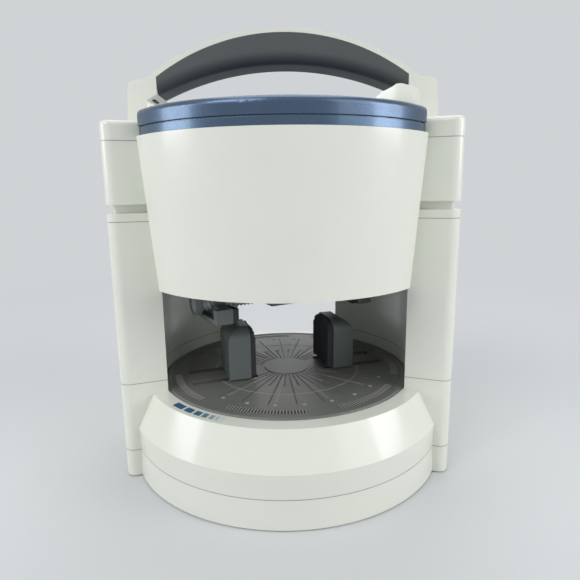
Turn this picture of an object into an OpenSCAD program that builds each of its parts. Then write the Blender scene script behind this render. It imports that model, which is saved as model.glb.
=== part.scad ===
// Electric jar opener. The jar stands on a powered turntable between two racked jaws, and a head that
// slides on two telescopic columns holds the lid between two jaws on a left and right hand screw.
// Millimetres. Origin: centre of the turntable axis on the table. +Z up, the user stands at -Y.

/* [Base] */
// Radius of the base at its foot
base_foot_r = 105.2; // [98:0.1:110]
// Radius of the base at the line where pan and shell meet
base_part_r = 104.5; // [99:0.1:111]
// Radius of the base at the lower edge of its bevel
base_bevel_r = 105; // [100:0.1:112]
// Height of the line where pan and shell meet
base_part_z = 18.5; // [14:0.1:22]
// Height of the lower edge of the bevel
base_bevel_z = 33; // [28:0.1:38]
// Height of the flat ring round the turntable
base_ring_z = 54.2; // [50:0.1:54.4]
// Width of the flat ring round the turntable
base_ring_w = 10; // [5:0.1:11]
// Wall of the moulded housings
wall = 2.4; // [2:0.1:3]
// Height of the rubber feet
feet_h = 0.8; // [0.8:0.1:2]
// Radius of a rubber foot
feet_r = 8; // [5:0.5:10]

/* [Columns] */
// Half of the width across both columns
half_w = 103.5; // [100:0.1:106]
// Distance from the turntable axis to the flat back
rear_y = 90; // [86:0.5:94]
// Radius of the rear corners
rear_corner_r = 58; // [50:1:60]
// Radius of the outer front corner of a column
front_corner_r = 6; // [4.5:0.1:8]
// Radius of the hollow between the columns
hollow_r = 86; // [85.5:0.1:88]
// Angle by which the front faces are turned outwards
face_cant = 20; // [14:1:24]
// Distance of a front face's inner edge in front of the axis
face_y = 42.5; // [38:0.5:46]
// Half angle of the opening at the back
rear_opening_half = 29; // [24:1:33]
// Where front and rear shell of a column meet
seam_y = 40; // [36:0.5:46]
// Height at which a column stands on the base
column_z = 62; // [58:0.5:66]
// Height of the line under the collar
collar_z = 161.5; // [150:0.5:166]
// Height of the collar
collar_h = 5; // [4:0.1:7]

/* [Head] */
// Gap between collar and side block with the head down
block_gap = 5; // [3:0.1:8]
// Height of a side block without its cap
block_h = 35.5; // [30:0.5:40]
// Height of a block cap
cap_h = 11.5; // [9:0.1:14]
// Height of the lower edge of the head
head_z = 122; // [118:0.5:126]
// Radius of the head's lower front edge
head_low_r = 91.5; // [90:0.1:94]
// Radius of the head's upper front edge
head_top_r = 97; // [95:0.1:100]
// Half width of the head's front at its lower edge
head_low_w = 72.9; // [71:0.1:74.2]
// Half width of the head's front at its upper edge
head_top_w = 80.3; // [78:0.1:81]
// How far the lid's sides stand back from the front's upper corners
lid_in = 2; // [1:0.1:3]
// Height of the blue band above the white shell
band_h = 4.2; // [3:0.1:6]
// Height of the shadow line under the lid
band_line = 0.8; // [0.5:0.1:1.2]
// Height of the lid's edge
lid_h = 8.9; // [7:0.1:11]
// How far the head lifts
head_travel = 90; // [60:1:92]

/* [Handle] */
// Height of the top of the handle
handle_top_z = 279.2; // [276:0.2:286]
// Radius of the handle's arch
handle_arch_r = 143.4; // [138:0.2:150]
// Distance of the handle's middle behind the axis
handle_y = 16; // [10:0.5:20]
// Width of the handle from front to back
handle_d = 32; // [28:0.5:36]
// Height of the white strip over the grip
handle_strip = 3; // [2.4:0.1:4]
// Thickness of the grip in the middle
grip_t = 18; // [14:0.5:20]
// Half length of the grip
grip_half = 81; // [76:0.5:83]
// Thickness of a handle post
post_t = 12; // [10:0.5:14]

/* [Turntable] */
// Radius of the turntable
table_r = 84.5; // [83:0.1:85]
// Height of the turntable's face
table_z = 55; // [54:0.1:57]
// Thickness of the turntable's plate
table_t = 4.5; // [3.5:0.1:5]
// Angle of the jar jaws' line from the X axis at rest
jar_line = 17; // [0:1:35]
// Distance of a jar jaw's face from the axis at rest
jar_grip_r = 27; // [22:0.5:30]
// Thickness of a jar jaw
jar_jaw_t = 17; // [14:0.5:19]
// Width of a jar jaw
jar_jaw_w = 34; // [30:1:38]
// Height of a jar jaw above the turntable
jar_jaw_h = 35; // [28:0.5:36]
// How far the jar jaws open from rest
jar_open = 26; // [15:1:28]
// How far the jar jaws close from rest
jar_close = 5; // [2:0.5:8]
// Teeth of the pinion between the racks
rack_pinion_teeth = 20; // [20:2:22]

/* [Lid jaws] */
// Angle of the lid jaws' line from the X axis
lid_line = 30; // [20:1:40]
// Distance of a lid jaw's face from the axis at rest
lid_grip_r = 45.5; // [44:0.5:47]
// Thickness of a lid jaw
lid_jaw_t = 10; // [9:0.5:11]
// Width of a lid jaw
lid_jaw_w = 40; // [32:1:44]
// Height of a lid jaw's lower edge
lid_jaw_z = 98; // [97:0.5:98.5]
// Height of the lid screw's axis
screw_z = 108.5; // [107.5:0.5:110]
// Diameter of the lid screw
screw_d = 9.4; // [8:0.1:9.6]
// How far the lid jaws open from rest
lid_open = 7; // [4:0.5:8]
// How far the lid jaws close from rest
lid_close = 20; // [10:1:21]

/* [Drive] */
// Teeth of the gear under the turntable
main_teeth = 80; // [72:4:80]
// Teeth of the double gear's wheel
wheel_teeth = 48; // [40:4:48]
// Teeth of the small pinions
pinion_teeth = 16; // [16:2:18]
// Teeth of the head's idler
idler_teeth = 36; // [32:2:36]
// Teeth of the pinions on the lid screw and on the head motor
screw_teeth = 14; // [14:1:15]

/* [Start button] */
// Distance of the button from the lid's right side
button_in = 3.2; // [3:0.1:6]
// Width of the button
button_w = 25.2; // [22:0.1:26]
// Distance of the button's rear edge behind the lid's front
button_back = 63; // [59:0.5:66]
// Height of the button's face above the lid's edge
button_h = 9.5; // [9:0.5:14]
// Travel of the button
button_travel = 3; // [2:0.1:4]

/* [Clearances] */
// Running clearance on a radius of a turning part
run_gap = 0.05; // [0.03:0.01:0.1]
// Clearance between sliding or neighbouring parts
slide_gap = 0.4; // [0.3:0.05:0.5]
// Clearance between the turntable and the ring round it
table_gap = 0.6; // [0.5:0.1:0.9]
// Play between gear teeth, on one flank
tooth_play = 0.1; // [0.08:0.01:0.14]

/* [Hidden] */
$fn = 128;
eps = 0.01;
white = [0.86, 0.87, 0.84];
blue = [0.25, 0.36, 0.50];
grey = [0.30, 0.32, 0.32];
black = [0.08, 0.08, 0.09];
steel = [0.70, 0.71, 0.73];
nylon = [0.80, 0.78, 0.70];

// ---- heights that follow from the driving sizes
collar_top = collar_z + collar_h;
block_z = collar_top + block_gap;
cap_z = block_z + block_h;
cap_top = cap_z + cap_h;
head_top_z = cap_z + 1.8;
lid_z = head_top_z + band_h + band_line;
lid_top = lid_z + lid_h;
lid_w = head_top_w - lid_in;
button_x = lid_w - button_in - button_w;
button_y = button_back - head_top_r;
// where the blue band ends behind the lid's corners
band_rear = 11 - sqrt(head_top_r * head_top_r - lid_w * lid_w);
floor_t = 3;
floor_z = head_z + 2;
recess_z = 36.5;
recess_floor_t = 3;
recess_r = table_r + table_gap;
ring_r = recess_r + base_ring_w;
pan_z = feet_h;

// ---- turntable levels, from the face down
table_low = table_z - table_t;
foot_t = 3.7;
foot_z = table_low - slide_gap - foot_t;
rack_t = 4.8;
rack_z = foot_z - rack_t;
carrier_t = 3.4;
carrier_z = rack_z - slide_gap - carrier_t;

// ---- gears, all of module 1
gear_m = 1;
add = 0.8 * gear_m;
ded = 1.05 * gear_m;
gear_t = 4;
main_r = main_teeth * gear_m / 2;
wheel_r = wheel_teeth * gear_m / 2;
pinion_r = pinion_teeth * gear_m / 2;
rack_pinion_r = rack_pinion_teeth * gear_m / 2;
idler_r = idler_teeth * gear_m / 2;
screw_gear_r = screw_teeth * gear_m / 2;
main_z = recess_z - recess_floor_t - 1 - gear_t;
wheel_z = main_z - 0.6 - gear_t;
plate_t = 2;
plate_z = wheel_z - 1 - plate_t;
double_x = main_r + pinion_r;
motor_dist = wheel_r + pinion_r;
double_angle = 90;
motor_angle = -10;
spindle_d = 10;
axle_d = 4;
motor_shaft_d = 3;
motor_r = 17;

// ---- the head's gears stand above one another over the lid screw
idler_z = screw_z + screw_gear_r + idler_r;
head_motor_z = idler_z + idler_r + screw_gear_r;
head_motor_r = 14;
head_motor_l = 38;
head_gear_t = 6;

// ---- slide tubes
tube_inset = wall + slide_gap + 1.2;
tube_wall = 2;
tube_rear_y = seam_y - 8;
tube_low = column_z - 3;

// ---- front face of the right column: a line with a round outer corner
corner_x = half_w - front_corner_r;
touch_x = corner_x - front_corner_r * sin(face_cant);
face_x = sqrt(hollow_r * hollow_r - face_y * face_y);
touch_y = -face_y - (touch_x - face_x) * tan(face_cant);
corner_y = touch_y + front_corner_r * cos(face_cant);
rear_cx = half_w - rear_corner_r;
rear_cy = rear_y - rear_corner_r;

// ===================================================================== outlines

// Half of the plan right of the axis, drawn in by d
module half_plan(d = 0) {
    function front_at(x) = -face_y - (x - face_x) * tan(face_cant) + d / cos(face_cant);
    r = front_corner_r - d;
    start_x = 40;
    side_x = half_w - d;
    // an outer corner is a true arc, an inner one is drawn in short straights
    steps = d > 0 ? 6 : 1;
    corner = r > 0.1
        ? [for (i = [0:steps]) let (a = (i / steps - 1) * (90 + face_cant))
            [corner_x + r * cos(a), corner_y + r * sin(a)]]
        : [[side_x, front_at(side_x)]];
    polygon(concat(
        [[0, front_at(start_x)], [start_x, front_at(start_x)]],
        corner,
        [[side_x, rear_cy], [rear_cx, rear_y - d], [0, rear_y - d]]
    ));
    if (d <= 0)
        translate([corner_x, corner_y])
            circle(r = r);
    translate([rear_cx, rear_cy])
        circle(r = rear_corner_r - d);
}

// Wedge that leaves the back open, drawn wider by d
module rear_wedge(d = 0) {
    reach = 2 * rear_y;
    shift = d / sin(90 - rear_opening_half);
    polygon([
        [-shift, 0],
        [shift, 0],
        [shift + reach * tan(rear_opening_half), reach],
        [-shift - reach * tan(rear_opening_half), reach]
    ]);
}

// Plan of the right column, drawn in by d
module column_plan(d = 0) {
    difference() {
        half_plan(d);
        circle(r = hollow_r + d);
        rear_wedge(d);
        translate([-3 * half_w, -half_w])
            square([3 * half_w, 3 * half_w]);
    }
}

// Plan of the right slide tube, drawn in by d from its outside
module tube_plan(d = 0) {
    intersection() {
        column_plan(tube_inset + d);
        translate([0, -half_w])
            square([half_w, half_w + tube_rear_y - d]);
    }
}

// Whole plan of the columns as one slab, with both sides
module both_sides() {
    children();
    mirror([1, 0, 0])
        children();
}

// ===================================================================== gears and racks

function inv_deg(a) = tan(a) * 180 / PI - a;

// Angle from a tooth's middle to its flank at radius r
function flank(n, r) =
    let (rp = n * gear_m / 2, rb = rp * cos(20))
    90 / n - tooth_play / rp * 180 / PI + inv_deg(20) - (r > rb ? inv_deg(acos(rb / r)) : 0);

// Outline of a spur gear with a tooth on the +X axis
module gear_outline(n) {
    rp = n * gear_m / 2;
    root = rp - ded;
    tip = rp + add;
    steps = 4;
    low = max(root, rp * cos(20));
    radii = [for (i = [0:steps]) low + (tip - low) * i / steps];
    polygon([
        for (t = [0:n - 1])
            let (a = t * 360 / n)
            each concat(
                [[root * cos(a - flank(n, low)), root * sin(a - flank(n, low))]],
                [for (r = radii) [r * cos(a - flank(n, r)), r * sin(a - flank(n, r))]],
                [for (i = [steps:-1:0]) [radii[i] * cos(a + flank(n, radii[i])), radii[i] * sin(a + flank(n, radii[i]))]],
                [[root * cos(a + flank(n, low)), root * sin(a + flank(n, low))]]
            )
    ]);
}

module spur_gear(n, t, bore) {
    difference() {
        linear_extrude(t)
            gear_outline(n);
        translate([0, 0, -eps])
            cylinder(h = t + 2 * eps, d = bore, $fn = 64);
    }
}

// Bar along +X that faces -Y, toothed up to x = toothed, with its pitch line at y = 0 and a gap at x = 0
module rack_outline(x0, x1, back, toothed) {
    pitch = PI * gear_m;
    half = pitch / 4 - tooth_play;
    first = ceil((x0 + half) / pitch - 0.5);
    last = floor((toothed - half) / pitch - 0.5);
    translate([x0, ded])
        square([x1 - x0, back - ded]);
    for (i = [first:last])
        translate([(i + 0.5) * pitch, 0])
            polygon([
                [-half - ded * tan(20), ded + eps],
                [-half + add * tan(20), -add],
                [half - add * tan(20), -add],
                [half + ded * tan(20), ded + eps]
            ]);
}

// ===================================================================== base

screw_spots = [[-78, -30], [78, -30], [-56, 62], [56, 62]];
feet_spots = [[-66, -66], [66, -66], [-72, 56], [72, 56], [0, 0]];

// Solid of the round base between two heights, cut off at the flat back
module round_base(points) {
    intersection() {
        rotate_extrude()
            polygon(points);
        translate([-half_w, -2 * half_w, -eps])
            cube([2 * half_w, 2 * half_w + rear_y, 2 * column_z]);
    }
}

module pan_plan(d = 0) {
    both_sides()
        difference() {
            half_plan(d);
            circle(r = hollow_r);
            translate([-3 * half_w, -half_w])
                square([3 * half_w, 3 * half_w]);
            rear_wedge(0);
        }
}

module base_pan() {
    boss_r = 5;
    color(white)
        difference() {
            union() {
                difference() {
                    union() {
                        round_base([[0, pan_z], [base_foot_r, pan_z], [base_part_r, base_part_z], [0, base_part_z]]);
                        translate([0, 0, pan_z])
                            linear_extrude(base_part_z - pan_z)
                                pan_plan(0);
                    }
                    intersection() {
                        union() {
                            translate([0, 0, pan_z + wall])
                                cylinder(h = base_part_z, r = base_foot_r - wall);
                            translate([0, 0, pan_z + wall])
                                linear_extrude(base_part_z)
                                    pan_plan(wall);
                        }
                        translate([wall - half_w, -2 * half_w, 0])
                            cube([2 * (half_w - wall), 2 * half_w + rear_y - wall, column_z]);
                    }
                }
                // screw bosses
                for (p = screw_spots)
                    translate([p[0], p[1], pan_z])
                        cylinder(h = base_part_z - pan_z, r = boss_r, $fn = 48);
                // posts that carry the gear plate
                for (p = plate_posts())
                    translate([p[0], p[1], pan_z])
                        cylinder(h = plate_z - pan_z, r = 3.5, $fn = 32);
                // ring that locates the motor
                translate([motor_spot()[0], motor_spot()[1], pan_z])
                    cylinder(h = wall + 3, r = motor_r + 2);
            }
            for (p = screw_spots)
                translate([p[0], p[1], pan_z - eps]) {
                    cylinder(h = base_part_z, r = 1.8, $fn = 32);
                    cylinder(h = 6, r = 3.6, $fn = 32);
                }
            for (p = feet_spots)
                translate([p[0], p[1], pan_z - eps])
                    cylinder(h = 1, r = feet_r + 0.1, $fn = 48);
            translate([motor_spot()[0], motor_spot()[1], pan_z + wall])
                cylinder(h = 10, r = motor_r + 0.1);
            // seat of the mains inlet
            translate([inlet_x, rear_y - wall - eps, inlet_z])
                rotate([-90, 0, 0])
                    cylinder(h = wall + 1, r = inlet_r, $fn = 64);
        }
}

inlet_x = -30;
inlet_z = 10;
inlet_r = 5;

module cord_inlet() {
    color(grey)
        translate([inlet_x, 0, inlet_z])
            rotate([-90, 0, 0])
                difference() {
                    union() {
                        translate([0, 0, rear_y - wall - 4])
                            cylinder(h = wall + 4 - eps, r = inlet_r - 0.02, $fn = 64);
                        translate([0, 0, rear_y])
                            cylinder(h = 1.5, r = inlet_r + 2, $fn = 64);
                        translate([0, 0, rear_y - eps])
                            cylinder(h = 1, r = inlet_r - 0.02, $fn = 64);
                        translate([0, 0, rear_y - wall - 2.5])
                            cylinder(h = 2.5, r = inlet_r + 1.5, $fn = 64);
                    }
                    translate([0, 0, rear_y - wall - 5])
                        cylinder(h = wall + 10, r = 3, $fn = 48);
                }
}

module rubber_feet() {
    color(black)
        for (p = feet_spots)
            translate([p[0], p[1], 0])
                cylinder(h = pan_z + 0.8, r = feet_r, $fn = 48);
}

module base_screws() {
    color(steel)
        for (p = screw_spots)
            translate([p[0], p[1], pan_z + 2.6]) {
                cylinder(h = 3, r = 3.2, $fn = 32);
                cylinder(h = base_part_z - pan_z + 4, r = 1.6, $fn = 32);
            }
}

module base_shell() {
    color(white)
        difference() {
            union() {
                difference() {
                    union() {
                        round_base([
                            [0, base_part_z],
                            [base_part_r, base_part_z],
                            [base_bevel_r, base_bevel_z],
                            [ring_r, base_ring_z],
                            [0, base_ring_z]
                        ]);
                        translate([0, 0, base_part_z])
                            linear_extrude(column_z - base_part_z)
                                both_sides()
                                    column_plan(0);
                    }
                    // space under the shell
                    intersection() {
                        rotate_extrude()
                            polygon([
                                [0, base_part_z - eps],
                                [base_part_r - wall, base_part_z - eps],
                                [base_bevel_r - wall, base_bevel_z - wall / 3],
                                [ring_r - wall / 2, base_ring_z - wall],
                                [recess_r + wall, base_ring_z - wall],
                                [recess_r + wall, recess_z - recess_floor_t],
                                [0, recess_z - recess_floor_t]
                            ]);
                        translate([wall - half_w, -2 * half_w, 0])
                            cube([2 * (half_w - wall), 2 * half_w + rear_y - wall, 2 * column_z]);
                    }
                    // the boots under the columns are open
                    translate([0, 0, base_part_z - eps])
                        linear_extrude(column_z)
                            both_sides()
                                difference() {
                                    column_plan(wall);
                                    circle(r = recess_r + wall);
                                }
                    // recess of the turntable
                    translate([0, 0, recess_z])
                        cylinder(h = column_z, r = recess_r);
                }
                // bearing boss in the middle
                translate([0, 0, recess_z - recess_floor_t - 0.6])
                    cylinder(h = 1, r = spindle_d / 2 + 5);
                // screw bosses
                for (p = screw_spots)
                    translate([p[0], p[1], base_part_z])
                        cylinder(h = recess_z - recess_floor_t - base_part_z + 1, r = 5, $fn = 48);
            }
            translate([0, 0, recess_z - recess_floor_t - 2])
                cylinder(h = recess_floor_t + 4, r = bearing_r);
            for (p = screw_spots)
                translate([p[0], p[1], base_part_z - eps])
                    cylinder(h = 8, r = 1.65, $fn = 32);
        }
}

bearing_r = spindle_d / 2 + 2.5;

module table_bearing() {
    color(nylon)
        translate([0, 0, recess_z - recess_floor_t - 0.6])
            difference() {
                union() {
                    cylinder(h = recess_floor_t + 1, r = bearing_r - 0.02);
                    translate([0, 0, recess_floor_t + 0.6])
                        cylinder(h = carrier_z - recess_z - 0.3, r = bearing_r + 4);
                }
                translate([0, 0, -eps])
                    cylinder(h = 10, r = spindle_d / 2 + run_gap);
            }
}

// ---- gear plate, motor and gears in the base

function double_spot() = [double_x * cos(double_angle), double_x * sin(double_angle)];
function motor_spot() = [
    double_spot()[0] + motor_dist * cos(motor_angle),
    double_spot()[1] + motor_dist * sin(motor_angle)
];
function plate_posts() = [[-30, 30], [-30, 64], [motor_spot()[0] + 8, 68], [20, 12]];

module gear_plate() {
    spot = motor_spot();
    double = double_spot();
    color(steel)
        difference() {
            union() {
                translate([0, 0, plate_z])
                    linear_extrude(plate_t)
                        offset(r = 6, $fn = 48)
                            polygon(plate_posts_ring());
                // pin of the double gear
                translate([double[0], double[1], plate_z])
                    cylinder(h = main_z + gear_t + 0.6 - plate_z, d = axle_d, $fn = 48);
            }
            translate([0, 0, plate_z - eps])
                cylinder(h = plate_t + 1, r = spindle_d / 2 + run_gap);
            translate([spot[0], spot[1], plate_z - eps])
                cylinder(h = plate_t + 1, r = 5, $fn = 48);
            for (p = plate_posts())
                translate([p[0], p[1], plate_z - eps])
                    cylinder(h = plate_t + 1, r = 1.2, $fn = 32);
        }
}

function plate_posts_ring() = [[-30, -4], [20, -4], [motor_spot()[0] + 8, 24], [motor_spot()[0] + 8, 68], [-30, 68]];

module base_motor() {
    spot = motor_spot();
    base_z = pan_z + wall;
    color(steel)
        translate([spot[0], spot[1], base_z]) {
            cylinder(h = plate_z - base_z, r = motor_r);
            cylinder(h = plate_z + plate_t - base_z - 0.2, r = 4.6, $fn = 48);
            cylinder(h = wheel_z + gear_t + 0.5 - base_z, d = motor_shaft_d, $fn = 48);
        }
}

module motor_pinion() {
    spot = motor_spot();
    color(nylon)
        translate([spot[0], spot[1], wheel_z])
            rotate([0, 0, motor_angle + 180 + 180 / pinion_teeth])
                spur_gear(pinion_teeth, gear_t, motor_shaft_d + 2 * run_gap);
}

module double_gear() {
    double = double_spot();
    // the wheel has a tooth towards the motor, the pinion a gap towards the turntable's gear
    color(nylon)
        translate([double[0], double[1], 0])
            difference() {
                union() {
                    translate([0, 0, wheel_z])
                        rotate([0, 0, motor_angle])
                            linear_extrude(gear_t)
                                gear_outline(wheel_teeth);
                    translate([0, 0, wheel_z + gear_t - eps])
                        cylinder(h = main_z - wheel_z - gear_t + 2 * eps, r = pinion_r - ded - 0.2);
                    translate([0, 0, main_z])
                        rotate([0, 0, double_angle + 180 + 180 / pinion_teeth])
                            linear_extrude(gear_t)
                                gear_outline(pinion_teeth);
                    translate([0, 0, plate_z + plate_t + 0.3])
                        cylinder(h = 1, r = 4);
                }
                cylinder(h = column_z, r = axle_d / 2 + run_gap, $fn = 48);
                for (i = [0:4])
                    rotate([0, 0, i * 72])
                        translate([wheel_r * 0.62, 0, wheel_z - 1])
                            cylinder(h = gear_t + 2 - 1.2, r = 4.5, $fn = 32);
            }
}

// ===================================================================== columns

module column_tube(low, high) {
    translate([0, 0, low])
        linear_extrude(high - low)
            difference() {
                column_plan(0);
                column_plan(wall);
            }
}

module column_front() {
    color(white)
        intersection() {
            column_tube(column_z, collar_z);
            translate([0, -2 * half_w, 0])
                cube([2 * half_w, 2 * half_w + seam_y, 2 * collar_z]);
        }
}

module column_rear() {
    color(white)
        union() {
            intersection() {
                column_tube(column_z, collar_z);
                translate([0, seam_y, 0])
                    cube([2 * half_w, 2 * half_w, 2 * collar_z]);
            }
            // ribs that stiffen the rear shell
            intersection() {
                for (i = [0:2])
                    translate([0, 0, column_z + 12 + i * (collar_z - column_z - 27) / 2])
                        linear_extrude(1.6)
                            column_plan(wall / 2);
                translate([0, seam_y + 2, 0])
                    cube([2 * half_w, 2 * half_w, 2 * collar_z]);
            }
        }
}

module column_front_right() { column_front(); }
module column_front_left() { mirror([1, 0, 0]) column_front(); }
module column_rear_right() { column_rear(); }
module column_rear_left() { mirror([1, 0, 0]) column_rear(); }

module collar() {
    lip = 3;
    color(white)
        difference() {
            union() {
                translate([0, 0, collar_z])
                    linear_extrude(collar_h)
                        column_plan(0);
                translate([0, 0, collar_z - lip])
                    linear_extrude(lip + eps)
                        column_plan(wall + 0.02);
            }
            translate([0, 0, collar_z - lip - eps])
                linear_extrude(collar_h + lip + 1)
                    offset_tube();
            // the rear is hollow underneath
            translate([0, 0, collar_z - lip - eps])
                linear_extrude(collar_h + lip - wall)
                    intersection() {
                        column_plan(wall + 2);
                        translate([0, tube_rear_y + 4])
                            square([2 * half_w, 2 * half_w]);
                    }
        }
}

// Opening of the collar: the tube's outline with the sliding clearance
module offset_tube() {
    intersection() {
        column_plan(tube_inset - slide_gap);
        translate([0, -half_w])
            square([half_w, half_w + tube_rear_y + slide_gap]);
    }
}

module collar_right() { collar(); }
module collar_left() { mirror([1, 0, 0]) collar(); }

// ===================================================================== turntable

groove_count = 48;

// Turns its children onto the jar jaws' line
module on_jar_line() {
    rotate([0, 0, jar_line])
        children();
}

slot_v = rack_pinion_r + 0.5;
neck_w = 5.2;
slot_w = neck_w + 2 * slide_gap;
neck_u0 = jar_grip_r + 3;
neck_u1 = jar_grip_r + jar_jaw_t - 3;

module turntable_disc() {
    boss_r = 3.6;
    color(grey)
        difference() {
            union() {
                rotate_extrude()
                    polygon([
                        [0, table_low],
                        [table_r - 3, table_low],
                        [table_r - 3, table_low - 4],
                        [table_r - 0.6, table_low - 4],
                        [table_r, table_low],
                        [table_r, table_z - 1.2],
                        [table_r - 1, table_z],
                        [table_r - 3.4, table_z],
                        [table_r - 3.8, table_z - 0.4],
                        [0, table_z - 0.4]
                    ]);
                // smooth round plate in the middle
                translate([0, 0, table_low])
                    cylinder(h = table_t, r = 15.5);
                // bosses down to the jaw carrier
                on_jar_line()
                    for (a = carrier_angles)
                        rotate([0, 0, a])
                            translate([carrier_boss_r, 0, carrier_z + carrier_t])
                                cylinder(h = table_low - carrier_z - carrier_t + eps, r = boss_r, $fn = 32);
            }
            on_jar_line() {
                // two slots on each side for the necks of a jaw
                for (s = [-1, 1])
                    for (v = [-slot_v, slot_v])
                        translate([s > 0 ? slot_u0 : -slot_u1, v - slot_w / 2, table_low - eps])
                            cube([slot_u1 - slot_u0, slot_w, table_t + 1]);
                for (a = carrier_angles)
                    rotate([0, 0, a])
                        translate([carrier_boss_r, 0, carrier_z])
                            cylinder(h = 12, r = 1.2, $fn = 24);
            }
            // radial grooves in the face
            on_jar_line()
                for (i = [0:groove_count - 1])
                    let (a = (i + 0.5) * 360 / groove_count)
                    if (abs(sin(a)) > 0.42)
                        rotate([0, 0, a])
                            translate([17.5, -0.35, table_z - 0.9])
                                cube([i % 2 == 0 ? 48 : 20, 0.7, 1]);
        }
}

slot_u0 = neck_u0 - jar_close - 1;
slot_u1 = neck_u1 + jar_open + 1;
carrier_angles = [52, 90, 128, 232, 270, 308];
carrier_boss_r = 66;

module jaw_carrier() {
    color(grey)
        difference() {
            union() {
                translate([0, 0, carrier_z])
                    cylinder(h = carrier_t, r = table_r - 8);
                // pin of the rack pinion
                translate([0, 0, carrier_z])
                    cylinder(h = rack_z + rack_t - 0.2 - carrier_z, d = 6, $fn = 64);
                // guide rails outside the racks
                on_jar_line()
                    for (v = [-1, 1])
                        translate([-56, v > 0 ? rail_v : -rail_v - 3, carrier_z])
                            cube([112, 3, rack_z + rack_t - 0.4 - carrier_z]);
            }
            on_jar_line()
                for (a = carrier_angles)
                    rotate([0, 0, a])
                        translate([carrier_boss_r, 0, carrier_z - eps]) {
                            cylinder(h = carrier_t + 1, r = 1.4, $fn = 24);
                            cylinder(h = 1.5, r = 2.8, $fn = 24);
                        }
        }
}

rack_back = 6.2;
rail_v = rack_pinion_r + rack_back + slide_gap;

module carrier_screws() {
    color(steel)
        on_jar_line()
            for (a = carrier_angles)
                rotate([0, 0, a])
                    translate([carrier_boss_r, 0, carrier_z + 0.1]) {
                        cylinder(h = 1.35, r = 2.6, $fn = 24);
                        cylinder(h = carrier_t + 7, r = 1.15, $fn = 24);
                    }
}

module drive_gear() {
    color(nylon)
        difference() {
            union() {
                // a tooth points at the double gear
                translate([0, 0, main_z])
                    rotate([0, 0, double_angle])
                        linear_extrude(gear_t)
                            gear_outline(main_teeth);
                translate([0, 0, plate_z + 0.2])
                    cylinder(h = carrier_z - plate_z - 0.2, r = spindle_d / 2, $fn = 96);
            }
            for (i = [0:5])
                rotate([0, 0, 30 + i * 60])
                    translate([main_r * 0.56, 0, main_z - eps])
                        cylinder(h = gear_t + 1, r = main_r * 0.17, $fn = 48);
        }
}

module rack_pinion() {
    color(nylon)
        translate([0, 0, rack_z + 0.1])
            on_jar_line()
                spur_gear(rack_pinion_teeth, rack_t - 0.5, 6 + 2 * run_gap);
}

// ---- jar jaws, drawn for the jaw on the +X side of its own line

pad_t = 2.5;
jaw_top = table_z + jar_jaw_h;
jaw_foot_z = table_z + 0.5;

// Upright of a jar jaw seen along its width, with a large round outer shoulder
module jar_jaw_side() {
    u0 = jar_grip_r + pad_t;
    u1 = jar_grip_r + jar_jaw_t;
    shoulder = 10;
    translate([u0, jaw_foot_z])
        square([u1 - u0, jar_jaw_h - shoulder - 0.5]);
    translate([u0, jaw_foot_z])
        square([u1 - u0 - shoulder, jar_jaw_h - 0.5]);
    intersection() {
        translate([u1 - shoulder, jaw_top - shoulder])
            circle(r = shoulder);
        translate([u0, jaw_foot_z])
            square([u1 - u0, jar_jaw_h]);
    }
}

// Upright outline with two round upper corners
module arch(w, top, r) {
    translate([-w / 2, 0])
        square([w, top - r]);
    translate([-w / 2 + r, 0])
        square([w - 2 * r, top]);
    for (s = [-1, 1])
        translate([s * (w / 2 - r), top - r])
            circle(r = r, $fn = 64);
}

module jar_jaw() {
    color(grey)
        union() {
            intersection() {
                translate([0, jar_jaw_w / 2, 0])
                    rotate([90, 0, 0])
                        linear_extrude(jar_jaw_w)
                            jar_jaw_side();
                translate([jar_grip_r, 0, 0])
                    rotate([90, 0, 90])
                        linear_extrude(jar_jaw_t)
                            arch(jar_jaw_w, jaw_top, 9);
            }
            // necks through the slots and the foot under the turntable
            for (v = [-slot_v, slot_v])
                translate([neck_u0 + 1, v - neck_w / 2, foot_z])
                    cube([neck_u1 - neck_u0 - 2, neck_w, jaw_foot_z - foot_z + 1]);
            translate([neck_u0, -jar_jaw_w / 2 + 1, foot_z])
                cube([neck_u1 - neck_u0, jar_jaw_w - 2, foot_t]);
        }
}

// Rubber pad with a hollow face that centres round jars
module jar_pad() {
    hollow = 60;
    color(black)
        difference() {
            intersection() {
                translate([jar_grip_r - 1.5, -jar_jaw_w / 2 + 1, jaw_foot_z + 1])
                    cube([pad_t + 1.5 - 0.02, jar_jaw_w - 2, jar_jaw_h - 2]);
                translate([jar_grip_r - 2, 0, 0])
                    rotate([90, 0, 90])
                        linear_extrude(pad_t + 4)
                            arch(jar_jaw_w - 4, jaw_top - 1, 8);
            }
            translate([jar_grip_r - hollow, 0, jaw_foot_z])
                cylinder(h = jar_jaw_h + 1, r = hollow + 0.6);
            // upright flutes in the gripping face
            for (v = [-14.1:2.35:14.1])
                translate([jar_grip_r - hollow + sqrt(pow(hollow + 0.6, 2) - v * v), v, jaw_foot_z])
                    cylinder(h = jar_jaw_h + 1, r = 0.7, $fn = 16);
        }
}

module jar_rack() {
    u0 = -jar_open - 9;
    color(steel)
        translate([0, rack_pinion_r, rack_z]) {
            linear_extrude(rack_t - slide_gap)
                rack_outline(u0, neck_u1, rack_back, jar_close + 8);
            // the end under the jaw's foot
            translate([neck_u0, ded, 0])
                cube([neck_u1 - neck_u0, rack_back - ded, rack_t]);
        }
}

module jar_jaw_right() { on_jar_line() jar_jaw(); }
module jar_jaw_left() { on_jar_line() rotate([0, 0, 180]) jar_jaw(); }
module jar_pad_right() { on_jar_line() jar_pad(); }
module jar_pad_left() { on_jar_line() rotate([0, 0, 180]) jar_pad(); }
module jar_rack_right() { on_jar_line() jar_rack(); }
module jar_rack_left() { on_jar_line() rotate([0, 0, 180]) jar_rack(); }

// ===================================================================== head

head_inner_r = hollow_r - 1.1;

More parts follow.
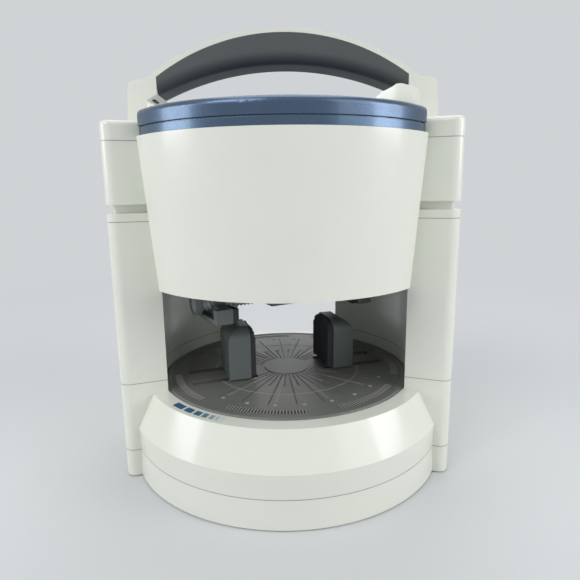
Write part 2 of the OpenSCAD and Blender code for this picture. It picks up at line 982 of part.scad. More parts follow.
head_screw_spots = [[-58, -60], [58, -60], [-54, 54], [54, 54]];

// Everything between the two slanting sides of the head's front, drawn in by d
module between_sides(d = 0) {
    lean = atan((head_top_w - head_low_w) / (head_top_z - head_z));
    span = 4 * half_w;
    for (s = [0, 1])
        mirror([s, 0, 0])
            difference() {
                translate([-eps, -span, -span])
                    cube([span, 2 * span, 2 * span]);
                translate([head_low_w - d, 0, head_z])
                    rotate([0, lean, 0])
                        translate([0, -span, -span])
                            cube([span, 2 * span, 2 * span]);
            }
}

// Front of the head as a solid, drawn in by d, between two heights
module head_front(d, low, high) {
    slope = (head_top_r - head_low_r) / (head_top_z - head_z);
    intersection() {
        rotate_extrude()
            polygon([
                [0, low],
                [head_low_r + (low - head_z) * slope - d, low],
                [head_low_r + (high - head_z) * slope - d, high],
                [0, high]
            ]);
        between_sides(d);
        // stays in front of the column faces
        translate([0, 0, low])
            linear_extrude(high - low)
                both_sides()
                    translate([-eps, -2 * half_w])
                        polygon([
                            [0, 0],
                            [2 * half_w, 0],
                            [2 * half_w, 2 * half_w - face_y - (2 * half_w - face_x) * tan(face_cant) - 0.6 - d / 2],
                            [face_x - 2, 2 * half_w - face_y + 2 * tan(face_cant) - 0.6 - d / 2],
                            [0, 2 * half_w]
                        ]);
    }
}

// Front and rear of the head together, where the rear ends at its own height
module head_body(d, low, high, rear_high) {
    head_front(d, low, high);
    translate([0, 0, low])
        cylinder(h = rear_high - low, r = head_inner_r - d);
}

module head_shell() {
    color(white)
        difference() {
            head_body(0, head_z, head_top_z, cap_z);
            difference() {
                head_body(wall, head_z - eps, head_top_z + 1, head_top_z + 1);
                // bosses that the floor is screwed to
                for (p = head_screw_spots)
                    translate([p[0], p[1], floor_z + floor_t])
                        difference() {
                            cylinder(h = 10, r = 7);
                            translate([0, 0, -eps])
                                cylinder(h = 9, r = 1.4, $fn = 24);
                        }
            }
            // the back cover closes the rear
            translate([0, 0, block_z])
                linear_extrude(head_top_z)
                    rear_wedge(0);
        }
}

module side_block() {
    color(white)
        difference() {
            translate([0, 0, block_z])
                linear_extrude(cap_z - block_z)
                    side_plan(0);
            translate([0, 0, block_z + wall])
                linear_extrude(cap_z)
                    side_plan(wall);
            // the slide tube passes up through the floor
            translate([0, 0, block_z - eps])
                linear_extrude(wall + 1)
                    tube_plan(-0.02);
        }
}

// Plan of a side block: the column's outline, up to the head's own wall
module side_plan(d = 0) {
    difference() {
        half_plan(d);
        circle(r = head_inner_r + 0.02 + d);
        rear_wedge(d);
        translate([-3 * half_w, -half_w])
            square([3 * half_w, 3 * half_w]);
    }
}

module side_block_right() { side_block(); }
module side_block_left() { mirror([1, 0, 0]) side_block(); }

module back_plan(d = 0) {
    difference() {
        intersection() {
            both_sides()
                half_plan(d);
            rear_wedge(-0.02 - d);
        }
        circle(r = head_inner_r - wall + 0.02 + d);
    }
}

module back_cover() {
    color(white)
        difference() {
            translate([0, 0, block_z])
                linear_extrude(cap_top - block_z)
                    back_plan(0);
            translate([0, 0, block_z + wall])
                linear_extrude(cap_top - block_z - 2 * wall)
                    back_plan(wall);
        }
}

lid_gap = 0.4;

module cap_plan(d = 0) {
    difference() {
        half_plan(d);
        lid_plan(-lid_gap - d);
        rear_wedge(d);
        translate([-3 * half_w, -half_w])
            square([3 * half_w, 3 * half_w]);
    }
}

// Square from the origin with its upper right corner rounded
module soft_corner(w, h, r) {
    square([w - r, h]);
    square([w, h - r]);
    translate([w - r, h - r])
        circle(r = r, $fn = 64);
}

// Everything under a cap's rounded upper edge: side, back, front face and the two round corners
module cap_soft_space(r) {
    // its upright faces stand just outside the plan's
    out = 0.02;
    span = 2 * half_w;
    low = cap_z - 1;
    high = cap_top - low;
    intersection() {
        translate([0, span, low])
            rotate([90, 0, 0])
                linear_extrude(2 * span)
                    soft_corner(half_w + out, high, r);
        translate([-eps, 0, low])
            rotate([90, 0, 90])
                linear_extrude(span)
                    union() {
                        soft_corner(rear_y + out, high, r);
                        translate([-span, 0])
                            square([span + 1, high]);
                    }
        // front face
        translate([corner_x, corner_y, low])
            rotate([90, 0, 90 - face_cant])
                translate([0, 0, -span])
                    linear_extrude(2 * span)
                        mirror([1, 0])
                            union() {
                                soft_corner(front_corner_r + out, high, r);
                                translate([-span, 0])
                                    square([span + 1, high]);
                            }
        // rear corner
        union() {
            translate([rear_cx, rear_cy, low])
                rotate_extrude()
                    soft_corner(rear_corner_r + out, high, r);
            translate([-eps, -span, low])
                cube([span, span + rear_cy, high]);
            translate([-span + rear_cx, -span, low])
                cube([span, 2 * span, high]);
        }
        // front corner
        union() {
            translate([corner_x, corner_y, low])
                rotate_extrude()
                    soft_corner(front_corner_r + out, high, r);
            translate([-eps, corner_y, low])
                cube([span, span, high]);
            translate([-span + touch_x + front_corner_r * sin(face_cant), -span, low])
                cube([span, 2 * span, high]);
        }
    }
}

cap_soft = 2.8;

module block_cap() {
    color(white)
        difference() {
            intersection() {
                translate([0, 0, cap_z])
                    linear_extrude(cap_h)
                        cap_plan(0);
                cap_soft_space(cap_soft);
            }
            translate([0, 0, cap_z - eps])
                linear_extrude(cap_h - wall)
                    cap_plan(wall);
        }
}

module block_cap_right() { block_cap(); }
module block_cap_left() { mirror([1, 0, 0]) block_cap(); }

// Plan inside the caps that the lid fills, drawn in by d
module lid_plan(d = 0) {
    intersection() {
        union() {
            intersection() {
                circle(r = head_top_r - d);
                translate([-half_w, -2 * half_w])
                    square([2 * half_w, 2 * half_w]);
            }
            circle(r = head_inner_r - wall - d);
        }
        translate([d - lid_w, -2 * half_w])
            square([2 * lid_w - 2 * d, 4 * half_w]);
    }
}

module blue_band() {
    color(blue)
        union() {
            translate([0, 0, head_top_z])
                linear_extrude(band_h)
                    band_plan(0);
            translate([0, 0, head_top_z + band_h - eps])
                linear_extrude(band_line + eps)
                    band_plan(1.3);
        }
}

band_w = 5;
band_end = 2.2;

module band_plan(d) {
    intersection() {
        difference() {
            circle(r = head_top_r - d);
            circle(r = head_top_r - band_w);
        }
        translate([band_end - lid_w, -2 * half_w])
            square([2 * (lid_w - band_end), 2 * half_w + band_rear]);
    }
}

module band_ends() {
    color(grey)
        for (s = [0, 1])
            mirror([s, 0, 0])
                translate([0, 0, head_top_z])
                    linear_extrude(band_h + band_line)
                        intersection() {
                            difference() {
                                circle(r = head_top_r - 0.8);
                                circle(r = head_top_r - band_w);
                            }
                            translate([lid_w - band_end + 0.02, -2 * half_w])
                                square([band_end - 0.3, 2 * half_w + band_rear]);
                        }
}

lid_soft = 3.5;

module lid() {
    back_r = head_inner_r - wall;
    color(blue)
        difference() {
            translate([0, 0, lid_z])
                intersection() {
                    union() {
                        intersection() {
                            rotate_extrude()
                                soft_corner(head_top_r, lid_h, lid_soft);
                            translate([-half_w, -2 * half_w, -1])
                                cube([2 * half_w, 2 * half_w, 2 * lid_h]);
                        }
                        rotate_extrude()
                            soft_corner(back_r, lid_h, lid_soft);
                    }
                    both_sides()
                        translate([-eps, half_w, 0])
                            rotate([90, 0, 0])
                                linear_extrude(3 * half_w)
                                    soft_corner(lid_w, lid_h, lid_soft);
                }
            translate([0, 0, lid_z - eps])
                linear_extrude(lid_h - wall)
                    lid_plan(wall);
            translate([0, 0, lid_z])
                linear_extrude(lid_h + 1)
                    button_plan(-slide_gap);
        }
    color(blue)
        for (p = board_spots)
            translate([p[0], p[1], board_z + board_t])
                cylinder(h = lid_top - 1 - board_z - board_t, r = 3, $fn = 32);
}

module head_floor() {
    color(grey)
        difference() {
            translate([0, 0, floor_z])
                linear_extrude(floor_t)
                    intersection() {
                        floor_plan();
                        circle(r = head_low_r - wall - 0.2);
                    }
            for (p = head_screw_spots)
                translate([p[0], p[1], floor_z - eps])
                    cylinder(h = floor_t + 1, r = 1.4, $fn = 24);
            // slot for the idler gear
            rotate([0, 0, lid_line])
                translate([-head_gear_t / 2 - 1, -idler_r - 1.5, floor_z - eps])
                    cube([head_gear_t + 2, 2 * idler_r + 3, floor_t + 1]);
        }
}

module floor_plan() {
    intersection() {
        union() {
            circle(r = head_inner_r - wall - 0.02);
            translate([-head_low_w + wall + 1, -head_low_r])
                square([2 * (head_low_w - wall - 1), head_low_r - face_y]);
        }
        circle(r = head_low_r - wall - 0.3);
    }
}

module slide_tube() {
    color(white)
        translate([0, 0, tube_low])
            linear_extrude(cap_z - 6 - tube_low)
                difference() {
                    tube_plan(0);
                    tube_plan(tube_wall);
                }
}

module slide_tube_right() { slide_tube(); }
module slide_tube_left() { mirror([1, 0, 0]) slide_tube(); }

// ---- handle, drawn in the XZ plane and extruded along Y

arch_cz = handle_top_z - handle_arch_r;
grip_low_r = 189;
grip_low_cz = handle_top_z - handle_strip - grip_t - grip_low_r;
post_foot_x = half_w - cap_soft + 0.4;
post_top_x = post_foot_x - 1.6;
post_in_x = post_foot_x - post_t - 1.5;
post_shoulder_z = arch_cz + sqrt(handle_arch_r * handle_arch_r - (grip_half + 6) * (grip_half + 6));

post_edge = [
    [post_foot_x, cap_top],
    [post_top_x, post_shoulder_z - 4.5],
    [post_top_x - 1, post_shoulder_z - 2.2],
    [post_top_x - 3.4, post_shoulder_z - 1.2],
    [grip_half + 4, post_shoulder_z]
];

module handle_side() {
    difference() {
        union() {
            intersection() {
                translate([0, arch_cz])
                    circle(r = handle_arch_r, $fn = 256);
                translate([-grip_half - 6, cap_top])
                    square([2 * (grip_half + 6), handle_top_z]);
            }
            // both posts with their soft shoulders, as one outline
            polygon([
                for (s = [1, -1])
                    each [for (i = [0:4]) let (p = post_edge[s > 0 ? i : 4 - i]) [s * p[0], p[1]]]
            ]);
        }
        // the space that the grip and the hand fill
        intersection() {
            translate([0, arch_cz])
                circle(r = handle_arch_r - handle_strip, $fn = 256);
            translate([-grip_half, cap_top - 1])
                square([2 * grip_half, handle_top_z]);
        }
        intersection() {
            translate([0, grip_low_cz])
                circle(r = grip_low_r, $fn = 256);
            translate([-post_in_x, cap_top - 1])
                square([2 * post_in_x, handle_top_z]);
        }
    }
}

module handle() {
    color(white)
        difference() {
            translate([0, handle_y + handle_d / 2, 0])
                rotate([90, 0, 0])
                    linear_extrude(handle_d)
                        handle_side();
            // moulded pockets in the inner face of each post
            for (s = [0, 1])
                mirror([s, 0, 0])
                    for (z = [post_shoulder_z - 22, post_shoulder_z - 12.5])
                        translate([post_in_x - 3, handle_y - 9, z])
                            cube([8, 15, 6.5]);
        }
}

module handle_grip() {
    soft = 7;
    color(grey)
        intersection() {
            // under the white strip, between the two roots
            translate([0, handle_y + handle_d / 2, 0])
                rotate([90, 0, 0])
                    linear_extrude(handle_d)
                        intersection() {
                            translate([0, arch_cz])
                                circle(r = handle_arch_r - handle_strip - 0.02, $fn = 256);
                            translate([-grip_half + 0.02, cap_top])
                                square([2 * grip_half - 0.04, handle_top_z]);
                        }
            // rounded underside
            translate([0, handle_y, grip_low_cz])
                rotate([90, 0, 0])
                    rotate_extrude($fn = 256)
                        union() {
                            translate([grip_low_r + soft, -handle_d / 2])
                                square([60, handle_d]);
                            translate([grip_low_r, -handle_d / 2 + soft])
                                square([60, handle_d - 2 * soft]);
                            for (s = [-1, 1])
                                translate([grip_low_r + soft, s * (handle_d / 2 - soft)])
                                    circle(r = soft, $fn = 64);
                        }
        }
}

module head_screws() {
    color(steel)
        for (p = head_screw_spots)
            translate([p[0], p[1], floor_z - 1.6]) {
                cylinder(h = 1.6, r = 3, $fn = 32);
                cylinder(h = floor_t + 9, r = 1.2, $fn = 24);
            }
}

// ---- lid clamp drive

module on_lid_line() {
    rotate([0, 0, lid_line])
        children();
}

housing_u = 16;
housing_v = 10;
housing_low = screw_z - 5.8;
end_u = 63;

module screw_housing() {
    color(grey)
        on_lid_line()
            difference() {
                union() {
                    translate([-housing_u, -housing_v, housing_low])
                        cube([2 * housing_u, 2 * housing_v, floor_z - housing_low]);
                    for (s = [0, 1])
                        mirror([s, 0, 0])
                            translate([end_u, 0, screw_z]) {
                                rotate([0, 90, 0])
                                    cylinder(h = 4, r = 7);
                                translate([0, -7, 0])
                                    cube([4, 14, floor_z - screw_z]);
                            }
                }
                // pocket of the screw's gear, open above to the idler
                translate([-head_gear_t / 2 - 1, 1.6 - housing_v, housing_low - 1])
                    cube([head_gear_t + 2, 2 * (housing_v - 1.6), 60]);
                translate([-head_gear_t / 2 - 1, 0, idler_z])
                    rotate([0, 90, 0])
                        cylinder(h = head_gear_t + 2, r = idler_r + add + 0.5);
                translate([-end_u - 5, 0, screw_z])
                    rotate([0, 90, 0])
                        cylinder(h = 2 * end_u + 10, r = screw_d / 2 + run_gap);
            }
}

module lid_screw() {
    color(steel)
        on_lid_line() {
            translate([-end_u - 3.5, 0, screw_z])
                rotate([0, 90, 0])
                    cylinder(h = 2 * end_u + 7, r = screw_d / 2);
            translate([-head_gear_t / 2, 0, screw_z])
                rotate([0, 90, 0])
                    rotate([0, 0, 180])
                        linear_extrude(head_gear_t)
                            gear_outline(screw_teeth);
        }
}

module idler_gear() {
    color(nylon)
        on_lid_line()
            translate([-head_gear_t / 2, 0, idler_z])
                rotate([0, 90, 0])
                    rotate([0, 0, 180 / idler_teeth])
                        spur_gear(idler_teeth, head_gear_t, axle_d + 2 * run_gap);
}

module head_motor_pinion() {
    color(nylon)
        on_lid_line()
            translate([-head_gear_t / 2, 0, head_motor_z])
                rotate([0, 90, 0])
                    spur_gear(screw_teeth, head_gear_t, motor_shaft_d + 2 * run_gap);
}

module head_motor() {
    bracket_t = 3;
    bracket_u = head_gear_t / 2 + 0.6;
    color(steel)
        on_lid_line() {
            // motor with its shaft
            translate([bracket_u + bracket_t, 0, head_motor_z])
                rotate([0, 90, 0])
                    cylinder(h = head_motor_l, r = head_motor_r);
            translate([-head_gear_t / 2 - 0.5, 0, head_motor_z])
                rotate([0, 90, 0])
                    cylinder(h = bracket_u + bracket_t + 5, d = motor_shaft_d, $fn = 48);
            // bracket on the floor, with the idler's pin
            translate([bracket_u, -head_motor_r, floor_z + floor_t])
                cube([bracket_t, 2 * head_motor_r, head_motor_z - floor_z - floor_t]);
            translate([-head_gear_t / 2 - 0.5, 0, idler_z])
                rotate([0, 90, 0])
                    cylinder(h = bracket_u + head_gear_t / 2 + 1.5, d = axle_d, $fn = 48);
        }
}

// ---- lid jaws, drawn for the jaw on the +X side of its own line

lid_pad_t = 3;

module lid_jaw() {
    u0 = lid_grip_r + lid_pad_t;
    u1 = lid_grip_r + lid_jaw_t;
    guide_w = 12;
    color(grey)
        difference() {
            union() {
                // lower bar that carries the pad
                translate([u0, -lid_jaw_w / 2, lid_jaw_z])
                    cube([u1 - u0, lid_jaw_w, 9.5]);
                // tray on the outer side
                translate([u1 - eps, -lid_jaw_w / 2, lid_jaw_z])
                    cube([4, lid_jaw_w, 2.6]);
                for (v = [-lid_jaw_w / 2, lid_jaw_w / 2 - 5])
                    translate([u1 - eps, v, lid_jaw_z])
                        cube([4, 5, 9.5]);
                // nut round the screw
                translate([u0, 0, screw_z])
                    rotate([0, 90, 0])
                        cylinder(h = u1 - u0, r = screw_d / 2 + 3);
                // tongue that runs under the head's floor
                translate([u0, -guide_w / 2, screw_z])
                    cube([u1 - u0, guide_w, floor_z - slide_gap - screw_z]);
                translate([u0, -lid_jaw_w / 2 + 3, floor_z - slide_gap - 4])
                    cube([u1 - u0, lid_jaw_w - 6, 4]);
            }
            translate([u0 - 1, 0, screw_z])
                rotate([0, 90, 0])
                    cylinder(h = u1 - u0 + 6, r = screw_d / 2 + run_gap);
        }
}

module lid_pad() {
    hollow = 70;
    color(black)
        difference() {
            translate([lid_grip_r - 1.2, -lid_jaw_w / 2 + 1, lid_jaw_z + 0.8])
                cube([lid_pad_t + 1.2 - 0.02, lid_jaw_w - 2, 8]);
            translate([lid_grip_r - hollow, 0, lid_jaw_z])
                cylinder(h = 20, r = hollow + 0.5);
            translate([lid_grip_r - 5, 0, screw_z])
                rotate([0, 90, 0])
                    cylinder(h = 20, r = screw_d / 2 + 1);
        }
}

module lid_jaw_right() { on_lid_line() lid_jaw(); }
module lid_jaw_left() { on_lid_line() rotate([0, 0, 180]) lid_jaw(); }
module lid_pad_right() { on_lid_line() lid_pad(); }
module lid_pad_left() { on_lid_line() rotate([0, 0, 180]) lid_pad(); }

// ---- control board, switch, button and its spring

board_z = lid_z - 16;
board_t = 1.6;
button_low = lid_z + 1;
flange_t = 1.2;

// Bosses of the lid that hold the board
board_spots = [[button_x - 16, button_y + 12], [button_x - 16, button_y - 16], [button_x + 14, button_y + 12]];

module control_board() {
    color([0.10, 0.35, 0.20])
        difference() {
            translate([button_x - 22, button_y - 20, board_z])
                cube([43, 38, board_t]);
            for (p = board_spots)
                translate([p[0], p[1], board_z - eps])
                    cylinder(h = board_t + 1, r = 1.2, $fn = 32);
        }
}

module button_spot() {
    translate([button_x + button_w / 2, button_y - 13, 0])
        children();
}

module start_switch() {
    color(black)
        button_spot() {
            translate([-5, -4, board_z + board_t])
                cube([10, 8, 6]);
            translate([0, 0, board_z + board_t + 6 - eps])
                cylinder(h = 2, r = 1.6, $fn = 32);
        }
}

module button_plan(d = 0) {
    intersection() {
        translate([button_x + d, -head_top_r])
            square([button_w - 2 * d, head_top_r + button_y - d]);
        circle(r = head_top_r - 6 - d);
    }
}

module start_button() {
    high = lid_top + button_h;
    color(white)
        difference() {
            union() {
                intersection() {
                    translate([0, 0, button_low])
                        linear_extrude(high - button_low)
                            button_plan(0);
                    // the left side slopes up to the face, whose edges are round
                    rotate([90, 0, 0])
                        linear_extrude(2 * head_top_r)
                            polygon([
                                [button_x, button_low],
                                [button_x + button_w, button_low],
                                [button_x + button_w, high - 2.5],
                                [button_x + button_w - 0.8, high - 0.8],
                                [button_x + button_w - 2.5, high],
                                [button_x + 12, high],
                                [button_x + 9, high - 0.7],
                                [button_x + 6.5, high - 2.5],
                                [button_x, lid_top + 3.5]
                            ]);
                }
                // flange that keeps the button in
                translate([0, 0, lid_top - wall - 0.3 - flange_t])
                    linear_extrude(flange_t)
                        intersection() {
                            button_plan(-1.2);
                            translate([button_x - 2, -head_top_r])
                                square([button_w + 2, head_top_r]);
                        }
            }
            // hollow from below
            translate([0, 0, button_low - eps])
                linear_extrude(lid_top - button_low - 1)
                    button_plan(wall);
        }
    // stem that reaches the switch
    color(white)
        button_spot()
            translate([0, 0, button_stem_z])
                cylinder(h = lid_top - button_stem_z, r = 2, $fn = 32);
}

button_stem_z = board_z + board_t + 8 + button_travel + 0.3;

module button_spring() {
    color(steel)
        button_spot()
            difference() {
                translate([0, 0, board_z + board_t])
                    cylinder(h = lid_top - 1.03 - board_z - board_t, r = 8, $fn = 48);
                translate([0, 0, board_z])
                    cylinder(h = 60, r = 7, $fn = 48);
            }
}

// ===================================================================== nodes

base_pan();
base_shell();
rubber_feet();
base_screws();
cord_inlet();
column_front_left();
column_front_right();
column_rear_left();
column_rear_right();
collar_left();
collar_right();
gear_plate();
base_motor();
motor_pinion();
double_gear();
table_bearing();
turntable_disc();
jaw_carrier();
drive_gear();
carrier_screws();
rack_pinion();
jar_jaw_left();
jar_jaw_right();
jar_pad_left();
jar_pad_right();
jar_rack_left();
jar_rack_right();
head_shell();
side_block_left();
side_block_right();
back_cover();
block_cap_left();
block_cap_right();
blue_band();
band_ends();
lid();
head_floor();
slide_tube_left();
slide_tube_right();
handle();
handle_grip();
head_screws();
head_motor();
head_motor_pinion();
idler_gear();
screw_housing();
lid_screw();
lid_jaw_left();
lid_jaw_right();
lid_pad_left();
lid_pad_right();
control_board();
start_switch();
start_button();
button_spring();
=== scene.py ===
"""Electric jar opener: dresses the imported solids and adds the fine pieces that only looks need."""
import logging
import math
from collections.abc import Iterable, Sequence
from dataclasses import dataclass, field
from enum import Enum

import bmesh
import bpy
from mathutils import Euler, Matrix, Vector


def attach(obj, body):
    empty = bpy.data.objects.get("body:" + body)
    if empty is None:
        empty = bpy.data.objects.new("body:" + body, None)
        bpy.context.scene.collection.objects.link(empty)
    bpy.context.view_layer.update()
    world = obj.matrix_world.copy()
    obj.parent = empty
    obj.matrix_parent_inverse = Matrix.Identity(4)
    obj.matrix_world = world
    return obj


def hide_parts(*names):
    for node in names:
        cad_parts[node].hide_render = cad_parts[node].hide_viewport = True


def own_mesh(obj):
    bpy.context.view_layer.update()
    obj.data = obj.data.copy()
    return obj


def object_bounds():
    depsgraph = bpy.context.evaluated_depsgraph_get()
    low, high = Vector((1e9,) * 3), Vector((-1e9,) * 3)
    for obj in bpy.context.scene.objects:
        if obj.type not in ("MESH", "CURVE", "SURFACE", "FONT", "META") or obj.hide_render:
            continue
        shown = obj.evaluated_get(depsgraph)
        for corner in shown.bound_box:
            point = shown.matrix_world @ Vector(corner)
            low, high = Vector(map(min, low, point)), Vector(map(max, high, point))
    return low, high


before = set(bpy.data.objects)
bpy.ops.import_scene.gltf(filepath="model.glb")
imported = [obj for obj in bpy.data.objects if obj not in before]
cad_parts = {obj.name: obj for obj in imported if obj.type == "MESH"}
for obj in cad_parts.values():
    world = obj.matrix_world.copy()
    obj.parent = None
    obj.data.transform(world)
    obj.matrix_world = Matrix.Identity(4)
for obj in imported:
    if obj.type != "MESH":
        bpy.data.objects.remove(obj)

CAD_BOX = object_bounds()
MM = 0.001
log = logging.getLogger("jar_opener")

Pair = tuple[float, float]
Point = tuple[float, float, float]
Color = tuple[float, float, float]


def linear(red: int, green: int, blue: int) -> Color:
    """Turns a display colour into the linear one that shaders use.

    Args:
        red: Red from 0 to 255.
        green: Green from 0 to 255.
        blue: Blue from 0 to 255.

    Returns:
        The linear colour.
    """
    def channel(value: int) -> float:
        """Decodes one channel."""
        share = value / 255
        return share / 12.92 if share <= 0.04045 else ((share + 0.055) / 1.055) ** 2.4

    return channel(red), channel(green), channel(blue)


# ---------------------------------------------------------------- finishes

# agreement of the plain and the softened normal where an edge starts to lighten, and is fully
# lightened, partly as scuffing and partly as painted highlight
EDGE_STARTS = 0.995
EDGE_FULL = 0.8
EDGE_SAMPLES = 8
# how a lightened edge's colour, partly scuffing and partly painted highlight, follows from the base
# colour
WEAR_AND_HIGHLIGHT_GAIN = 1.25
WEAR_AND_HIGHLIGHT_LIFT = 0.02
SMOOTHEST = 0.05
# height of the bump as a share of the grain's size
BUMP_SHARE = 0.1
# scale of a noise along each axis: the same, drawn out upwards, and wiped upwards
EVEN = (1, 1, 1)
DRAWN = (1, 1, 0.03)
WIPED = (1, 1, 0.5)


class Grain(Enum):
    """The fine surface of a finish."""

    PEEL = "moulded gloss with a slight ripple"
    STIPPLE = "spark-eroded mould texture"
    FLAKE = "metallic flakes under lacquer"
    BRUSHED = "drawn metal"
    FLOATED = "plain tool marks"


# octaves of each grain's noise; flakes are cells and have none
OCTAVES = {Grain.PEEL: 2, Grain.STIPPLE: 5, Grain.BRUSHED: 4, Grain.FLOATED: 2}
CLOUD_OCTAVES = 3
SMEAR_OCTAVES = 4


@dataclass(frozen=True)
class Finish:
    """A moulded, painted or metal surface, in node-based shading.

    Attributes:
        name: Name of the material.
        base: Linear colour of the surface.
        shade: Linear colour that the base drifts to in soft clouds.
        grain: The fine surface.
        rough: Roughness in the middle of its range.
        metallic: Share of metal.
        coat: Weight of the clear coat.
        ripple: Strength of the bump.
        cell: Size of the grain in millimetres.
        edge: Radius that edges are softened by, in millimetres, or 0 for none.
        wear_and_highlight: How much edges lighten, partly as scuffed edges and partly as painted
            highlight.
        specular: Level of the plain reflection.
        coat_rough: Roughness of the clear coat.
        cloud: Size of the colour's clouds in millimetres.
        tint: How far the grain shifts the colour, where the grain is fine and even.
        strong_tint: How far the grain shifts the colour of flakes and drawn metal.
        smear: Size of the handling marks in millimetres.
        spread: How far the roughness strays from its middle.
    """

    name: str
    base: Color
    shade: Color
    grain: Grain = Grain.PEEL
    rough: float = 0.3
    metallic: float = 0.0
    coat: float = 0.0
    ripple: float = 0.1
    cell: float = 2.0
    edge: float = 0.6
    wear_and_highlight: float = 0.25
    specular: float = 0.5
    coat_rough: float = 0.12
    cloud: float = 45
    tint: float = 0.12
    strong_tint: float = 0.35
    smear: float = 18
    spread: float = 0.12

    def make(self) -> bpy.types.Material:
        """Builds the material, or takes it up again if it was built before.

        Returns:
            The material.
        """
        known = bpy.data.materials.get(self.name)
        if known:
            return known
        material = bpy.data.materials.new(self.name)
        material.use_nodes = True
        tree = material.node_tree
        tree.nodes.clear()
        shader = self._node(tree, "ShaderNodeBsdfPrincipled")
        output = self._node(tree, "ShaderNodeOutputMaterial")
        tree.links.new(shader.outputs["BSDF"], output.inputs["Surface"])
        shader.inputs["Metallic"].default_value = self.metallic
        shader.inputs["Coat Weight"].default_value = self.coat
        shader.inputs["Coat Roughness"].default_value = self.coat_rough
        shader.inputs["Specular IOR Level"].default_value = self.specular
        place = self._node(tree, "ShaderNodeTexCoord").outputs["Object"]
        soft = self._soft_edges(tree) if self.edge else None
        fine = self._grain(tree, place)
        self._color(tree, shader, place, fine, soft)
        self._roughness(tree, shader, place, fine)
        bump = self._node(tree, "ShaderNodeBump")
        bump.inputs["Strength"].default_value = self.ripple
        bump.inputs["Distance"].default_value = BUMP_SHARE * MM * self.cell
        tree.links.new(fine, bump.inputs["Height"])
        if soft:
            tree.links.new(soft.outputs["Normal"], bump.inputs["Normal"])
        tree.links.new(bump.outputs["Normal"], shader.inputs["Normal"])
        return material

    def _soft_edges(self, tree: bpy.types.NodeTree) -> bpy.types.Node:
        """Adds the node that rounds the edges in the shading.

        Args:
            tree: The material's node tree.

        Returns:
            The node.
        """
        soft = self._node(tree, "ShaderNodeBevel", samples=EDGE_SAMPLES)
        soft.inputs["Radius"].default_value = self.edge * MM
        return soft

    @staticmethod
    def _node(tree: bpy.types.NodeTree, kind: str, **values: object) -> bpy.types.Node:
        """Adds a node and sets its plain properties.

        Args:
            tree: The material's node tree.
            kind: Type of the node.
            values: The properties and what they are set to.

        Returns:
            The node.
        """
        made = tree.nodes.new(kind)
        for key, value in values.items():
            setattr(made, key, value)
        return made

    @staticmethod
    def _socket(sockets: Iterable[bpy.types.NodeSocket], identifier: str) -> bpy.types.NodeSocket:
        """Finds a socket by its identifier, where several share a name."""
        return next(socket for socket in sockets if socket.identifier == identifier)

    def _mix(self, tree: bpy.types.NodeTree, factor: bpy.types.NodeSocket,
             second: Color) -> bpy.types.Node:
        """Adds a colour mix towards a fixed second colour.

        Args:
            tree: The material's node tree.
            factor: Socket with the second colour's share.
            second: Linear second colour.

        Returns:
            The node, whose first colour is still to be set.
        """
        mix = self._node(tree, "ShaderNodeMix", data_type="RGBA")
        self._socket(mix.inputs, "B_Color").default_value = (*second, 1)
        tree.links.new(factor, self._socket(mix.inputs, "Factor_Float"))
        return mix

    def _noise(self, tree: bpy.types.NodeTree, place: bpy.types.NodeSocket, cell: float,
               detail: int, stretch: Point = EVEN) -> bpy.types.NodeSocket:
        """Adds a noise whose features are a given size.

        Args:
            tree: The material's node tree.
            place: Socket with the object's coordinates.
            cell: Size of a feature in millimetres.
            detail: Octaves of the noise.
            stretch: Scale along each axis.

        Returns:
            The socket with the noise's value.
        """
        mapping = self._node(tree, "ShaderNodeMapping")
        mapping.inputs["Scale"].default_value = stretch
        noise = self._node(tree, "ShaderNodeTexNoise")
        noise.inputs["Scale"].default_value = 1 / (cell * MM)
        noise.inputs["Detail"].default_value = detail
        tree.links.new(place, mapping.inputs["Vector"])
        tree.links.new(mapping.outputs["Vector"], noise.inputs["Vector"])
        return noise.outputs["Fac"]

    def _grain(self, tree: bpy.types.NodeTree, place: bpy.types.NodeSocket) -> bpy.types.NodeSocket:
        """Adds the fine height pattern of the grain.

        Args:
            tree: The material's node tree.
            place: Socket with the object's coordinates.

        Returns:
            The socket with the pattern's height.
        """
        if self.grain is Grain.FLAKE:
            flakes = self._node(tree, "ShaderNodeTexVoronoi", feature="F1")
            flakes.inputs["Scale"].default_value = 1 / (self.cell * MM)
            tree.links.new(place, flakes.inputs["Vector"])
            parts = self._node(tree, "ShaderNodeSeparateColor")
            tree.links.new(flakes.outputs["Color"], parts.inputs["Color"])
            return parts.outputs["Red"]
        stretch = DRAWN if self.grain is Grain.BRUSHED else EVEN
        return self._noise(tree, place, self.cell, OCTAVES[self.grain], stretch)

